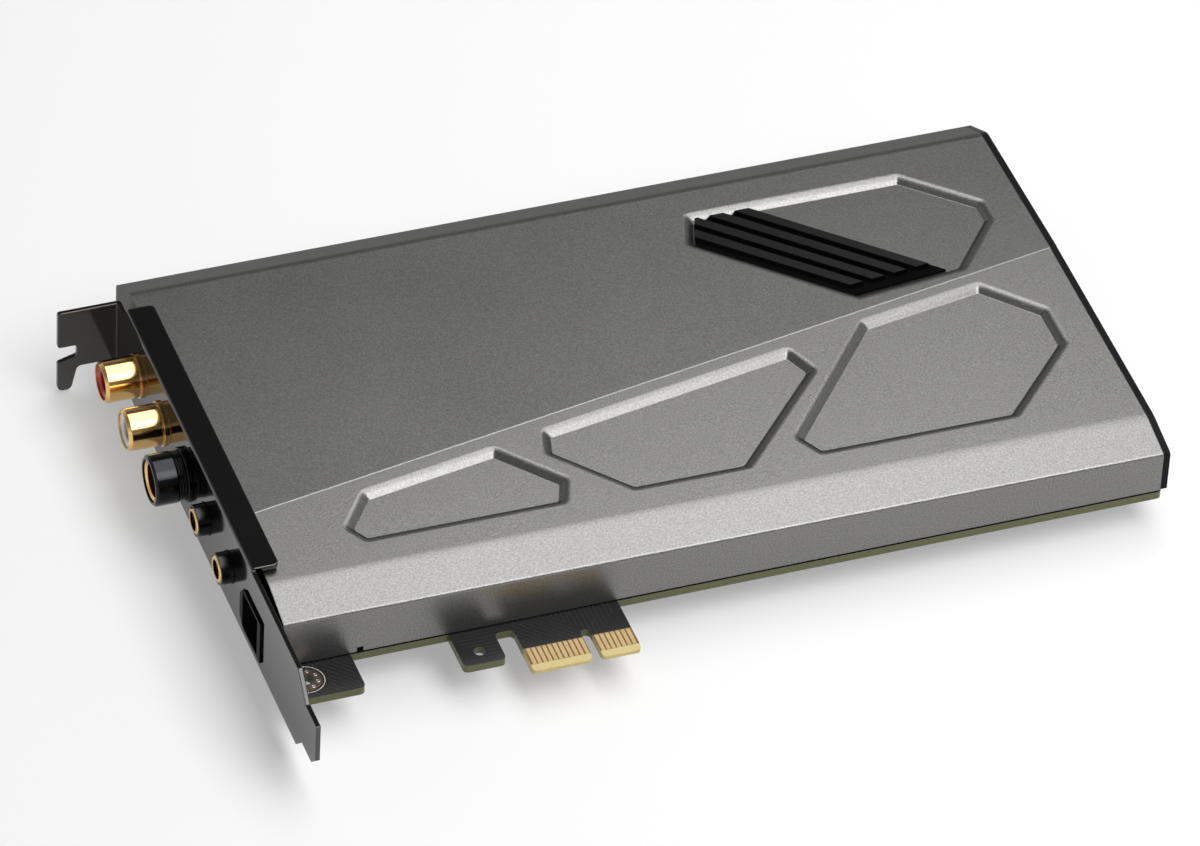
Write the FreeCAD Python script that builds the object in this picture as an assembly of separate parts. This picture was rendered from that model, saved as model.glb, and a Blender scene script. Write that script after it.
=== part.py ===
import FreeCAD, Part
import math
import os

from FreeCAD import Vector

# Sound card for a one-lane slot, in millimetres.
# X runs along the card from the bracket to the far end, Y from the edge connector to the upper edge,
# and Z stands square to the board, towards the cover.
# The origin is the middle of the key notch, at the connector's lower edge, half way through the board.

# Board
board_thickness = 1.6
board_length = 170.7
board_lower = 13.2
board_upper = 114.85
board_corner = 1.0
end_ear_width = 13.5
end_ear_lower = 4.2
end_ear_hole = 1.3
end_ear_hole_inset = 3.7
end_ear_hole_rise = 4.87
guide_ear_start = -23.9
guide_ear_width = 8.0
guide_ear_hole = 1.15
guide_ear_hole_rise = 3.3
relief_top = 11.2

# Edge connector
contact_pitch = 1.0
contact_width = 0.7
contact_plating = 0.05
contact_lower = 1.35
contact_upper = 5.6
contacts_before_key = 11
contacts_after_key = 7
first_contact = 1.5
tongue_margin = 0.8
key_width = 1.9
key_depth = 7.6
tongue_corner = 0.8
bevel_height = 1.3
bevel_depth = 0.45

# Bracket, of the standard slot size
bracket_offset = 56.64
bracket_thickness = 0.86
bracket_length = 120.02
bracket_width = 18.42
bracket_top = 107.3
bracket_gap = 0.75
flange_gap = 0.1
flange_reach = 5.3
flange_lower = 25.2
flange_upper = 101.0
flange_corner = 1.0
fold_radius = 0.7
edge_relief = 0.5
tongue_width = 10.19
tongue_shoulder = -2.0
tongue_inset = 3.2
tongue_clip = 2.2
tab_depth = 11.43
tab_width = 13.2
tab_inset = 2.4
slot_height = 3.6
slot_inset = 8.15
slot_depth = 3.7
slot_taper = 1.1
lobe_width = 3.2
lobe_reach = 5.3
lobe_flare = 0.6
shoulder_clip = 3.0

# Cover
cover_wall = 1.2
cover_height = 13.0
cover_start_gap = 1.5
cover_edge_inset = 0.15
cover_end_inset = 0.4
crease_start = 40.2
crease_end = 70.736
crease_step_width = 0.13
crease_step_drop = 0.06
facet_slope = 0.04
front_bevel_width = 8.65
front_bevel_drop = 2.15
rear_bevel_width = 8.3
rear_bevel_drop = 4.5
front_bevel_round = 9.0
rear_bevel_round = 3.5
wall_edge_round = 0.7
wall_foot_round = 0.3
pad_depth = 1.05
pad_wall_width = 1.3
pad_corner = 1.2
pad_rim_round = 2.2
cut_rise = 0.6
wall_notch_width = 1.2
wall_notch_height = 1.2
wall_notch_place = 14.6
boss_radius = 2.8
boss_inset = 6.6
left_boss_inset = 19.8
screw_radius = 1.15
screw_clearance = 0.1
screw_length = 7.0
screw_head_radius = 2.4
screw_head_height = 1.7

# Corners of the sunk pads, as shares of the cover's length and depth
rear_pad = [(0.615, 0.765), (0.765, 0.530), (0.895, 0.554), (0.957, 0.678), (0.957, 0.729),
            (0.882, 0.844), (0.631, 0.844)]
large_pad = [(0.6185, 0.203), (0.6365, 0.152), (0.864, 0.152), (0.959, 0.313), (0.9585, 0.409),
             (0.900, 0.506), (0.754, 0.464)]
middle_pad = [(0.350, 0.284), (0.423, 0.152), (0.5545, 0.152), (0.6775, 0.366), (0.660, 0.430),
              (0.358, 0.339)]
small_pad = [(0.106, 0.192), (0.121, 0.152), (0.3454, 0.152), (0.3584, 0.209), (0.298, 0.319),
             (0.141, 0.2715)]

# Ribbed insert in the rear pad
rib_count = 4
rib_pitch = 3.5
rib_top_width = 1.9
rib_foot_width = 2.9
rib_proud = 0.35
rib_end_setback = 2.0
insert_base = 0.5
insert_clearance = 0.25

# End cap
cap_thickness = 1.3
cap_rim_depth = 3.0
cap_rim_wall = 1.2
cap_clearance = 0.15
cap_lift = 0.25

# Jacks on the bracket
jack_height = 4.4
phono_place = 14.16
phono_pitch = 14.25
headphone_pitch = 14.9
line_pitch = 12.85
mic_pitch = 13.8
hole_clearance = 0.2
fit_clearance = 0.06
phono_reach = 7.2
phono_shell_radius = 4.0
phono_shell_wall = 0.62
phono_nose_length = 0.6
phono_nose_fall = 0.45
phono_ring_length = 0.5
phono_ring_proud = 0.3
phono_groove_width = 0.25
phono_groove_depth = 0.2
phono_spigot = 3.75
phono_lip = 0.35
phono_seat = 2.0
phono_pin_radius = 1.65
phono_contact_wall = 0.35
phono_mouth_length = 1.3
phono_mouth_gap = 0.3
phono_body_width = 10.4
phono_body_length = 11.0
phono_body_crown = 4.7
phono_pin_depth = 4.0
headphone_reach = 6.9
headphone_bore = 3.25
headphone_sleeve_wall = 0.75
headphone_sleeve_set = 0.3
headphone_nut_radius = 4.85
headphone_nut_length = 4.3
headphone_ring_radius = 5.2
headphone_seat = 3.0
headphone_bore_gap = 0.3
headphone_body_width = 12.0
headphone_body_length = 25.5
headphone_body_crown = 5.3
headphone_end_wall = 2.0
spring_count = 3
spring_pitch = 6.0
spring_length = 3.6
spring_width = 4.6
spring_thickness = 0.3
spring_clearance = 0.2
mini_reach = 2.4
mini_barrel_radius = 3.0
mini_bore = 1.8
mini_rim_width = 0.75
mini_rim_depth = 0.4
mini_body_width = 6.8
mini_body_length = 13.0
mini_body_crown = 3.2
mini_end_wall = 1.0

# Optical port, sunk in a notch of the board
optical_place = 24.1
optical_height = 2.2
optical_width = 11.8
optical_tall = 9.2
optical_clip = 2.1
optical_proud = 0.4
optical_shoulder = 0.5
optical_length = 13.5
optical_mouth_width = 8.6
optical_mouth_tall = 8.0
optical_mouth_depth = 10.2
optical_ledge = 1.4
optical_ledge_length = 8.0
optical_ledge_height = 1.2
emitter_size = 5.4
emitter_length = 2.4
lens_radius = 1.5
lens_length = 1.2
notch_clearance = 0.2

# Parts on the board
capacitor_radius = 3.15
capacitor_height = 7.4
capacitor_foot = 6.6
capacitor_foot_height = 0.9
capacitor_spacing = 9.5
capacitor_columns = 2
capacitor_rows = 4
socket_length = 10.2
socket_width = 9.6
socket_height = 3.6
socket_spacing = 12.4
socket_floor = 1.2
socket_trough = 4.4
amplifier_count = 4
amplifier_length = 9.4
amplifier_width = 6.35
amplifier_height = 3.3
leads_per_side = 4
lead_pitch = 2.54
lead_width = 0.5
lead_drop = 2.6
chip_chamfer = 0.25
processor_size = 12.0
bridge_size = 9.0
converter_length = 12.8
converter_width = 7.5
converter_height = 1.9
driver_length = 6.4
driver_width = 5.0
memory_length = 5.3
memory_width = 4.0
flat_chip_height = 1.0
oscillator_length = 5.0
oscillator_width = 3.2
oscillator_height = 1.3
relay_length = 14.0
relay_width = 9.0
relay_height = 5.0
inductor_size = 7.0
inductor_height = 3.2
regulator_length = 6.5
regulator_width = 3.5
regulator_height = 1.7
regulator_tab_width = 3.0
regulator_tab_length = 1.7
power_width = 21.0
power_depth = 8.0
power_tall = 5.6
power_wall = 1.1
power_tongue = 1.3
power_from_end = 54.0
header_pitch = 2.54
header_columns = 5
header_body_depth = 2.5
header_pin_width = 0.64
header_pin_length = 6.2
header_from_end = 84.0
header_edge_gap = 0.4
port_clearance = 0.4
part_gap = 5.0

# Derived places
board_top = board_thickness / 2
board_under = -board_thickness / 2
bracket_inner = -bracket_offset
bracket_outer = bracket_inner - bracket_thickness
board_left = bracket_inner + bracket_gap
board_right = board_left + board_length
tongue_left = -first_contact - (contacts_before_key - 1) * contact_pitch - tongue_margin
tongue_right = first_contact + (contacts_after_key - 1) * contact_pitch + tongue_margin
cover_left = bracket_inner + cover_start_gap
cover_right = board_right - cover_end_inset
crease_slope = (crease_end - crease_start) / (cover_right - cover_left)
cover_front = board_lower + cover_edge_inset
cover_back = board_upper - cover_edge_inset
cover_top = board_top + cover_height
bevel_inner = cover_front + front_bevel_width
rear_bevel_inner = cover_back - rear_bevel_width
flange_under = cover_top + flange_gap
flange_top = flange_under + bracket_thickness
plate_low = flange_top - bracket_width
plate_high = flange_top - edge_relief
jack_axis = board_top + jack_height
right_phono_y = bracket_top - phono_place
left_phono_y = right_phono_y - phono_pitch
headphone_y = left_phono_y - headphone_pitch
line_y = headphone_y - line_pitch
mic_y = line_y - mic_pitch
optical_axis = board_top + optical_height
power_x = board_right - power_from_end
header_x = board_right - header_from_end
header_width = header_pitch * header_columns


def box(x, y, z):
    """A block between pairs of low and high values along X, Y and Z."""
    corner = Vector(x[0], y[0], z[0])
    return Part.makeBox(x[1] - x[0], y[1] - y[0], z[1] - z[0], corner)


def centred(middle, size):
    return (middle - size / 2, middle + size / 2)


def rod_x(radius, x, y, z):
    return Part.makeCylinder(radius, x[1] - x[0], Vector(x[0], y, z), Vector(1, 0, 0))


def rod_z(radius, x, y, z):
    return Part.makeCylinder(radius, z[1] - z[0], Vector(x, y, z[0]))


def polygon(points):
    return Part.Face(Part.makePolygon(points + points[:1]))


def prism_z(outline, z):
    face = polygon([Vector(x, y, z[0]) for x, y in outline])
    return face.extrude(Vector(0, 0, z[1] - z[0]))


def prism_x(outline, x):
    face = polygon([Vector(x[0], y, z) for y, z in outline])
    return face.extrude(Vector(x[1] - x[0], 0, 0))


def prism_y(outline, y):
    face = polygon([Vector(x, y[0], z) for x, z in outline])
    return face.extrude(Vector(0, y[1] - y[0], 0))


def turned_x(profile, y, z):
    """A turned piece about an axis along X, from a closed profile of (x, radius) points."""
    solid = polygon([Vector(x, radius, 0) for x, radius in profile]).revolve(Vector(), Vector(1, 0, 0), 360)
    solid.translate(Vector(0, y, z))
    return solid


def turned_z(profile, x, y):
    """A turned piece about an axis along Z, from a closed profile of (radius, z) points."""
    solid = polygon([Vector(radius, 0, z) for radius, z in profile]).revolve(Vector(), Vector(0, 0, 1), 360)
    solid.translate(Vector(x, y, 0))
    return solid


def faceted(first, second):
    """A solid with flat sides between two outlines of as many corners."""
    count = len(first)
    faces = [polygon(first), polygon(second)]
    for i in range(count):
        j = (i + 1) % count
        faces.append(polygon([first[i], first[j], second[j], second[i]]))
    shell = Part.Shell(faces)
    shell.sewShape()
    solid = Part.Solid(shell)
    if solid.Volume < 0:
        solid.reverse()
    return solid


def moved_outline(outline, move):
    """A convex outline, listed anticlockwise, with its sides moved outwards, all alike or one by one."""
    count = len(outline)
    moves = move if isinstance(move, list) else [move] * count
    lines = []
    for i in range(count):
        ax, ay = outline[i]
        bx, by = outline[(i + 1) % count]
        length = math.hypot(bx - ax, by - ay)
        nx = (by - ay) / length
        ny = (ax - bx) / length
        lines.append((nx, ny, nx * ax + ny * ay + moves[i]))
    corners = []
    for i in range(count):
        a, b, c = lines[i - 1]
        d, e, f = lines[i]
        across = a * e - b * d
        corners.append(((c * e - b * f) / across, (a * f - c * d) / across))
    return corners


def edges_at(shape, test):
    """The edges whose two ends both pass the test."""
    found = []
    for edge in shape.Edges:
        ends = [vertex.Point for vertex in edge.Vertexes]
        if len(ends) == 2 and all(test(end) for end in ends):
            found.append(edge)
    return found


def same(a, b):
    return abs(a - b) < 1e-4


def upright_edges(shape, corners):
    """The edges along Z at the given (x, y) corners."""
    found = []
    for x, y in corners:
        found += edges_at(shape, lambda p: same(p.x, x) and same(p.y, y))
    return found


def save(node, shape):
    shape.exportStep("parts/" + node + ".step")


# Circuit board

end_ear_right = board_left + end_ear_width
guide_ear_end = guide_ear_start + guide_ear_width
optical_notch_end = bracket_inner + optical_length + notch_clearance
optical_half = optical_width / 2 + optical_shoulder + notch_clearance
end_ear_hole_place = (board_left + end_ear_hole_inset, end_ear_lower + end_ear_hole_rise)
guide_ear_hole_place = (guide_ear_start + guide_ear_width / 2, end_ear_lower + guide_ear_hole_rise)
boss_places = []
for boss_x in (cover_left + left_boss_inset, cover_right - boss_inset):
    for boss_y in (cover_front + boss_inset, cover_back - boss_inset):
        boss_places.append((boss_x, boss_y))


def circuit_board():
    low_corners = [(board_left, end_ear_lower), (end_ear_right, end_ear_lower),
                   (guide_ear_start, end_ear_lower), (guide_ear_end, end_ear_lower),
                   (tongue_left, 0), (tongue_right, 0)]
    outline = [
        low_corners[0], low_corners[1], (end_ear_right, board_lower),
        (guide_ear_start, board_lower), low_corners[2], low_corners[3],
        (guide_ear_end, relief_top), (tongue_left, relief_top), low_corners[4], low_corners[5],
        (tongue_right, board_lower), (board_right, board_lower), (board_right, board_upper),
        (board_left, board_upper), (board_left, optical_place + optical_half),
        (optical_notch_end, optical_place + optical_half),
        (optical_notch_end, optical_place - optical_half), (board_left, optical_place - optical_half),
    ]
    board = prism_z(outline, (board_under, board_top))
    round_corners = low_corners[:4] + [(guide_ear_end, relief_top), (tongue_left, relief_top),
                                       (board_right, board_lower), (board_right, board_upper),
                                       (board_left, board_upper)]
    board = board.makeFillet(board_corner, upright_edges(board, round_corners))
    through = (board_under - cut_rise, board_top + cut_rise)
    key_round = key_width / 2
    board = board.cut(box(centred(0, key_width), (-cut_rise, key_depth - key_round), through))
    tongue_ends = [(x, 0) for x in (tongue_left, -key_round, key_round, tongue_right)]
    board = board.makeFillet(tongue_corner, upright_edges(board, tongue_ends))
    board = board.cut(rod_z(key_round, 0, key_depth - key_round, through))
    for side in (1, -1):
        slope = [(-cut_rise, side * (board_top - bevel_depth * (1 + cut_rise / bevel_height))),
                 (bevel_height, side * board_top), (-cut_rise, side * (board_top + cut_rise))]
        board = board.cut(prism_x(slope, (tongue_left - cut_rise, tongue_right + cut_rise)))
    board = board.cut(rod_z(end_ear_hole, *end_ear_hole_place, through))
    board = board.cut(rod_z(guide_ear_hole, *guide_ear_hole_place, through))
    for x, y in boss_places:
        board = board.cut(rod_z(screw_radius + screw_clearance, x, y, through))
    return board


def edge_contacts():
    places = [-first_contact - i * contact_pitch for i in range(contacts_before_key)]
    places += [first_contact + i * contact_pitch for i in range(contacts_after_key)]
    span = (contact_lower, contact_upper)
    plates = []
    for x in places:
        plates.append(box(centred(x, contact_width), span, (board_top, board_top + contact_plating)))
        plates.append(box(centred(x, contact_width), span, (board_under - contact_plating, board_under)))
    return Part.makeCompound(plates)


# Bracket


def bracket():
    tip = bracket_top - bracket_length
    tongue_low = plate_low + tongue_inset
    tongue_high = tongue_low + tongue_width
    tab_high = flange_top - tab_inset - edge_relief
    tab_low = tab_high - tab_width
    right_fall = plate_high - tongue_high
    plate_outline = [
        (tip, tongue_low + tongue_clip), (tip + tongue_clip, tongue_low),
        (tongue_shoulder - tongue_inset, tongue_low), (tongue_shoulder, plate_low),
        (bracket_top - shoulder_clip, plate_low),
        (bracket_top - shoulder_clip + tab_low - plate_low, tab_low),
        (bracket_top, tab_low), (bracket_top, tab_high),
        (flange_upper + plate_high - tab_high, tab_high), (flange_upper, plate_high),
        (flange_upper, flange_top), (flange_lower, flange_top), (flange_lower, plate_high),
        (tongue_shoulder, plate_high), (tongue_shoulder - right_fall, tongue_high), (tip, tongue_high),
    ]
    plate = prism_x(plate_outline, (bracket_outer, bracket_inner))

    flange_end = bracket_outer + flange_reach
    flange = box((bracket_inner, flange_end), (flange_lower, flange_upper), (flange_under, flange_top))
    corners = [(flange_end, flange_lower), (flange_end, flange_upper)]
    flange = flange.makeFillet(flange_corner, upright_edges(flange, corners))

    tab_end = bracket_outer - tab_depth
    slot_end = tab_end + slot_depth
    slot_high = tab_high - slot_inset
    slot_low = slot_high - slot_height
    lobe_low = tab_low - lobe_reach
    outline = [
        (bracket_outer, tab_high), (tab_end, tab_high), (tab_end, slot_high), (slot_end, slot_high),
        (slot_end, slot_low + slot_taper), (tab_end, slot_low), (tab_end, lobe_low),
        (tab_end + lobe_width - lobe_flare, lobe_low), (tab_end + lobe_width + lobe_flare, tab_low),
        (bracket_outer, tab_low),
    ]
    tab = prism_y(outline, (bracket_top - bracket_thickness, bracket_top))
    small = [outline[i] for i in (1, 2, 3, 4, 5)]
    large = [outline[i] for i in (6, 7, 8)]
    for corners, radius in ((small, slot_taper / 2), (large, slot_taper)):
        picked = []
        for x, z in corners:
            picked += edges_at(tab, lambda p: same(p.x, x) and same(p.z, z))
        tab = tab.makeFillet(radius, picked)

    whole = plate.fuse([flange, tab]).removeSplitter()
    flange_fold = edges_at(whole, lambda p: same(p.x, bracket_outer) and same(p.z, flange_top))
    tab_fold = edges_at(whole, lambda p: same(p.x, bracket_inner) and same(p.y, bracket_top))
    whole = whole.makeFillet(fold_radius, flange_fold + tab_fold)

    through = (bracket_outer - cut_rise, bracket_inner + cut_rise)
    for y in (right_phono_y, left_phono_y):
        whole = whole.cut(rod_x(phono_spigot + hole_clearance, through, y, jack_axis))
    sleeve_radius = headphone_bore + headphone_sleeve_wall
    whole = whole.cut(rod_x(sleeve_radius + hole_clearance, through, headphone_y, jack_axis))
    for y in (line_y, mic_y):
        whole = whole.cut(rod_x(mini_barrel_radius + hole_clearance, through, y, jack_axis))
    return whole.cut(prism_x(moved_outline(optical_outline(), hole_clearance), through))


# Cover, its end cap and its ribbed insert


def crease(x):
    return crease_start + crease_slope * (x - cover_left)


def front_facet(x, y):
    return cover_top - crease_step_drop - facet_slope * (crease(x) - y)


def rear_facet(x, y):
    return cover_top


def cover_section(x, inset, floor):
    """Corners of the cover's outline across the card at x, moved in by the inset."""
    shoulder = front_facet(x, bevel_inner) - inset
    step_foot = crease(x) - crease_step_width
    outline = [
        (cover_front + inset, floor), (cover_front + inset, shoulder - front_bevel_drop),
        (bevel_inner, shoulder), (step_foot, front_facet(x, step_foot) - inset),
        (crease(x), cover_top - inset), (rear_bevel_inner, cover_top - inset),
        (cover_back - inset, cover_top - inset - rear_bevel_drop), (cover_back - inset, floor),
    ]
    return [Vector(x, y, z) for y, z in outline]


def cover_slice(x, inset, floor):
    return faceted(cover_section(x[0], inset, floor), cover_section(x[1], inset, floor))


def softened(solid, first, second):
    """Rounds the long edges of a cover's solid that runs between two sections."""
    for corner, radius in ((0, wall_foot_round), (1, wall_edge_round), (2, front_bevel_round),
                           (5, rear_bevel_round), (6, wall_edge_round), (7, wall_foot_round)):
        ends = (first[corner], second[corner])
        edges = edges_at(solid, lambda p: any(p.isEqual(end, 1e-4) for end in ends))
        solid = solid.makeFillet(radius, edges)
    return solid


def pad_corners(shares):
    length = cover_right - cover_left
    depth = cover_back - cover_front
    return [(cover_left + u * length, cover_front + v * depth) for u, v in shares]


def dish(outline, facet, low_move, low_drop, high_move, high_drop):
    """A tapered block whose two ends follow the facet, each at its own depth under it."""
    low = [Vector(x, y, facet(x, y) - low_drop) for x, y in moved_outline(outline, low_move)]
    high = [Vector(x, y, facet(x, y) - high_drop) for x, y in moved_outline(outline, high_move)]
    return faceted(low, high)


def pad_cut(outline, facet):
    spread = pad_wall_width * cut_rise / pad_depth
    cutter = dish(outline, facet, -pad_wall_width, pad_depth, spread, -cut_rise)
    sides = [edge for edge in cutter.Edges
             if abs(edge.Vertexes[0].Z - edge.Vertexes[1].Z) > pad_depth]
    return cutter.makeFillet(pad_corner, sides)


def pad_tray(outline, facet):
    """The wall pressed down under a pad, so that the sheet keeps its thickness."""
    rim = cover_wall / 2
    return dish(outline, facet, rim - pad_wall_width, pad_depth + cover_wall, rim, cover_wall - rim)


def on_pad_rim(p):
    between_ends = cover_left + cut_rise < p.x < cover_right - cut_rise
    return between_ends and (same(p.z, rear_facet(p.x, p.y)) or same(p.z, front_facet(p.x, p.y)))


def cover():
    pads = [(pad_corners(rear_pad), rear_facet)]
    pads += [(pad_corners(shares), front_facet) for shares in (large_pad, middle_pad, small_pad)]
    ends = (cover_left, cover_right)
    body = softened(cover_slice(ends, 0, board_top), *(cover_section(x, 0, board_top) for x in ends))
    body = body.cut([pad_cut(outline, facet) for outline, facet in pads])
    body = body.makeFillet(pad_rim_round, edges_at(body, on_pad_rim))

    end_wall = cover_left + cover_wall
    cavity = cover_slice((end_wall, cover_right + cut_rise), cover_wall, board_top - cut_rise)
    posts = [rod_z(boss_radius, x, y, (board_top, cover_top)) for x, y in boss_places]
    trays = [pad_tray(outline, facet) for outline, facet in pads]
    shell = body.cut(cavity.cut(posts + trays))
    jack_y = (optical_place - optical_half, right_phono_y + phono_body_width / 2 + port_clearance)
    jack_z = (board_top - cut_rise, jack_axis + headphone_body_crown + port_clearance)
    shell = shell.cut(box((cover_left - cut_rise, end_wall + cut_rise), jack_y, jack_z))

    screw_depth = screw_length - board_thickness + screw_clearance
    for x, y in boss_places:
        hole = rod_z(screw_radius + screw_clearance, x, y, (board_top - cut_rise, board_top + screw_depth))
        shell = shell.cut(hole)
    notch_x = centred(cover_left + wall_notch_place, wall_notch_width)
    wall_y = (cover_front - cut_rise, cover_front + cover_wall + cut_rise)
    shell = shell.cut(box(notch_x, wall_y, (board_top - cut_rise, board_top + wall_notch_height)))
    back_y = (cover_back - cover_wall - cut_rise, cover_back + cut_rise)
    for x, width, tall in ((power_x, power_width, power_tall), (header_x, header_width, 2 * header_pitch)):
        window = box(centred(x, width + 2 * port_clearance), back_y,
                     (board_top - cut_rise, board_top + tall + port_clearance))
        shell = shell.cut(window)
    return shell.removeSplitter()


def end_cap():
    near = cover_section(cover_right, 0, board_top + cap_lift)
    far = [corner + Vector(cap_thickness, 0, 0) for corner in near]
    plate = softened(faceted(near, far), near, far)
    rim_inset = cover_wall + cap_clearance
    rim_x = (cover_right - cap_rim_depth, cover_right)
    rim = cover_slice(rim_x, rim_inset, board_top + cap_lift)
    hollow = cover_slice((rim_x[0] - cut_rise, rim_x[1]), rim_inset + cap_rim_wall, board_top - cut_rise)
    rim = rim.cut(hollow)
    for x, y in boss_places:
        rim = rim.cut(rod_z(boss_radius + cap_clearance, x, y, (board_top, cover_top)))
    return plate.fuse(rim).removeSplitter()


def ribbed_insert():
    """Ribs along the pad's first side, on a base that reaches its wall. They end short of the second."""
    pad = pad_corners(rear_pad)
    seat = -pad_wall_width - insert_clearance
    flare = pad_wall_width * rib_proud / pad_depth - insert_clearance

    def room(setback):
        low = [seat, seat - setback] + [seat] * (len(pad) - 2)
        return dish(pad, rear_facet, low, pad_depth, [flare] + low[1:], -rib_proud)

    floor = cover_top - pad_depth
    start, end = (Vector(x, y, floor) for x, y in moved_outline(pad, seat)[:2])
    along = (end - start).normalize()
    across = Vector(-along.y, along.x, 0)
    run = along * (end - start).Length * 3
    foot = start - run / 3
    strip = [foot - across * pad_wall_width, foot + across * rib_count * rib_pitch]
    base = polygon([strip[0], strip[0] + run, strip[1] + run, strip[1]]).extrude(Vector(0, 0, insert_base))
    rise = Vector(0, 0, pad_depth + rib_proud)
    ribs = []
    for i in range(rib_count):
        middle = foot + across * (rib_pitch * (i + 0.5))
        low = across * (rib_foot_width / 2)
        high = across * (rib_top_width / 2)
        section = [middle - low, middle + low, middle + high + rise, middle - high + rise]
        ribs.append(polygon(section).extrude(run).common(room(rib_end_setback)))
    return base.common(room(0)).fuse(ribs).removeSplitter()


def cover_screws():
    screws = []
    for x, y in boss_places:
        low = board_under - screw_head_height
        crown = screw_head_height / 3
        profile = [(0, low), (screw_head_radius - crown, low), (screw_head_radius, low + crown),
                   (screw_head_radius, board_under), (screw_radius, board_under),
                   (screw_radius, board_under + screw_length), (0, board_under + screw_length)]
        screws.append(turned_z(profile, x, y))
    return Part.makeCompound(screws)


# Phono jacks

phono_front = bracket_outer - phono_reach
phono_bore = phono_shell_radius - phono_shell_wall
phono_insulator_radius = min(phono_bore, phono_spigot - phono_shell_wall / 2) - fit_clearance
phono_tail = bracket_inner + phono_seat
phono_contact_radius = phono_pin_radius + phono_contact_wall
phono_contact_start = phono_front + phono_lip + phono_mouth_length


def phono_shell(y):
    ring_start = bracket_outer - phono_ring_length
    groove_start = ring_start - phono_groove_width
    groove = phono_shell_radius - phono_groove_depth
    ring = phono_shell_radius + phono_ring_proud
    inner = phono_insulator_radius + fit_clearance
    profile = [
        (phono_front, inner), (phono_front, phono_shell_radius - phono_nose_fall),
        (phono_front + phono_nose_length, phono_shell_radius), (groove_start, phono_shell_radius),
        (groove_start, groove), (ring_start, groove), (ring_start, ring), (bracket_outer, ring),
        (bracket_outer, phono_spigot), (phono_tail, phono_spigot), (phono_tail, inner),
    ]
    return turned_x(profile, y, jack_axis)


def phono_insulator(y):
    mouth = phono_pin_radius + phono_mouth_gap
    seat = phono_contact_radius + phono_mouth_gap
    step = phono_contact_start - fit_clearance
    profile = [
        (phono_front + phono_lip, mouth + phono_lip), (phono_front + phono_lip, phono_insulator_radius),
        (phono_tail, phono_insulator_radius), (phono_tail, seat), (step, seat), (step, mouth),
        (phono_front + 2 * phono_lip, mouth),
    ]
    return turned_x(profile, y, jack_axis)


def phono_contact(y):
    profile = [(phono_contact_start, phono_pin_radius), (phono_contact_start, phono_contact_radius),
               (phono_tail, phono_contact_radius), (phono_tail, phono_pin_radius)]
    return turned_x(profile, y, jack_axis)


def phono_body(y):
    x = (bracket_inner, bracket_inner + phono_body_length)
    block = box(x, centred(y, phono_body_width), (board_top, jack_axis + phono_body_crown))
    crown = edges_at(block, lambda p: same(p.z, jack_axis + phono_body_crown))
    block = block.makeChamfer(phono_lip, crown)
    socket = (x[0] - cut_rise, phono_tail)
    block = block.cut(rod_x(phono_spigot + fit_clearance, socket, y, jack_axis))
    pin_hole = (phono_tail - cut_rise, phono_tail + phono_pin_depth)
    return block.cut(rod_x(phono_pin_radius + phono_mouth_gap, pin_hole, y, jack_axis))


# Headphone jack

headphone_front = bracket_outer - headphone_reach
headphone_sleeve_radius = headphone_bore + headphone_sleeve_wall
headphone_tail = bracket_inner + headphone_seat
headphone_nut_end = headphone_front + headphone_nut_length
headphone_body_end = bracket_inner + headphone_body_length
window_length = spring_length + 2 * spring_clearance
window_floor = jack_axis + headphone_bore + headphone_bore_gap / 2


def spring_starts():
    first = headphone_tail + spring_pitch / 2
    return [first + i * spring_pitch for i in range(spring_count)]


def headphone_sleeve():
    front = headphone_front + headphone_sleeve_set
    lip = headphone_sleeve_wall / 2
    profile = [(front, headphone_bore + lip), (front, headphone_sleeve_radius),
               (headphone_tail, headphone_sleeve_radius), (headphone_tail, headphone_bore),
               (front + lip, headphone_bore)]
    return turned_x(profile, headphone_y, jack_axis)


def headphone_nut():
    inner = headphone_sleeve_radius + fit_clearance
    lip = (headphone_nut_radius - inner) / 2
    profile = [(headphone_front, inner), (headphone_front, headphone_nut_radius - lip),
               (headphone_front + lip, headphone_nut_radius), (headphone_nut_end, headphone_nut_radius),
               (headphone_nut_end, inner)]
    return turned_x(profile, headphone_y, jack_axis)


def headphone_lock_ring():
    inner = headphone_sleeve_radius + fit_clearance
    edge = (headphone_ring_radius - headphone_nut_radius) / 2
    profile = [(headphone_nut_end, inner), (headphone_nut_end, headphone_ring_radius - edge),
               (headphone_nut_end + edge, headphone_ring_radius),
               (bracket_outer, headphone_ring_radius), (bracket_outer, inner)]
    return turned_x(profile, headphone_y, jack_axis)


def headphone_body():
    x = (bracket_inner, headphone_body_end)
    top = jack_axis + headphone_body_crown
    block = box(x, centred(headphone_y, headphone_body_width), (board_top, top))
    block = block.makeChamfer(phono_lip, edges_at(block, lambda p: same(p.z, top)))
    socket = (x[0] - cut_rise, headphone_tail)
    block = block.cut(rod_x(headphone_sleeve_radius + fit_clearance, socket, headphone_y, jack_axis))
    bore = (headphone_tail - cut_rise, headphone_body_end - headphone_end_wall)
    block = block.cut(rod_x(headphone_bore + headphone_bore_gap, bore, headphone_y, jack_axis))
    window_y = centred(headphone_y, spring_width + 2 * spring_clearance)
    for start in spring_starts():
        window = box((start, start + window_length), window_y, (window_floor, top + cut_rise))
        block = block.cut(window)
    return block


def headphone_springs():
    springs = []
    low = window_floor + spring_clearance
    for start in spring_starts():
        x = (start + spring_clearance, start + spring_clearance + spring_length)
        springs.append(box(x, centred(headphone_y, spring_width), (low, low + spring_thickness)))
    return Part.makeCompound(springs)


# Line and microphone jacks

mini_front = bracket_outer - mini_reach


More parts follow.
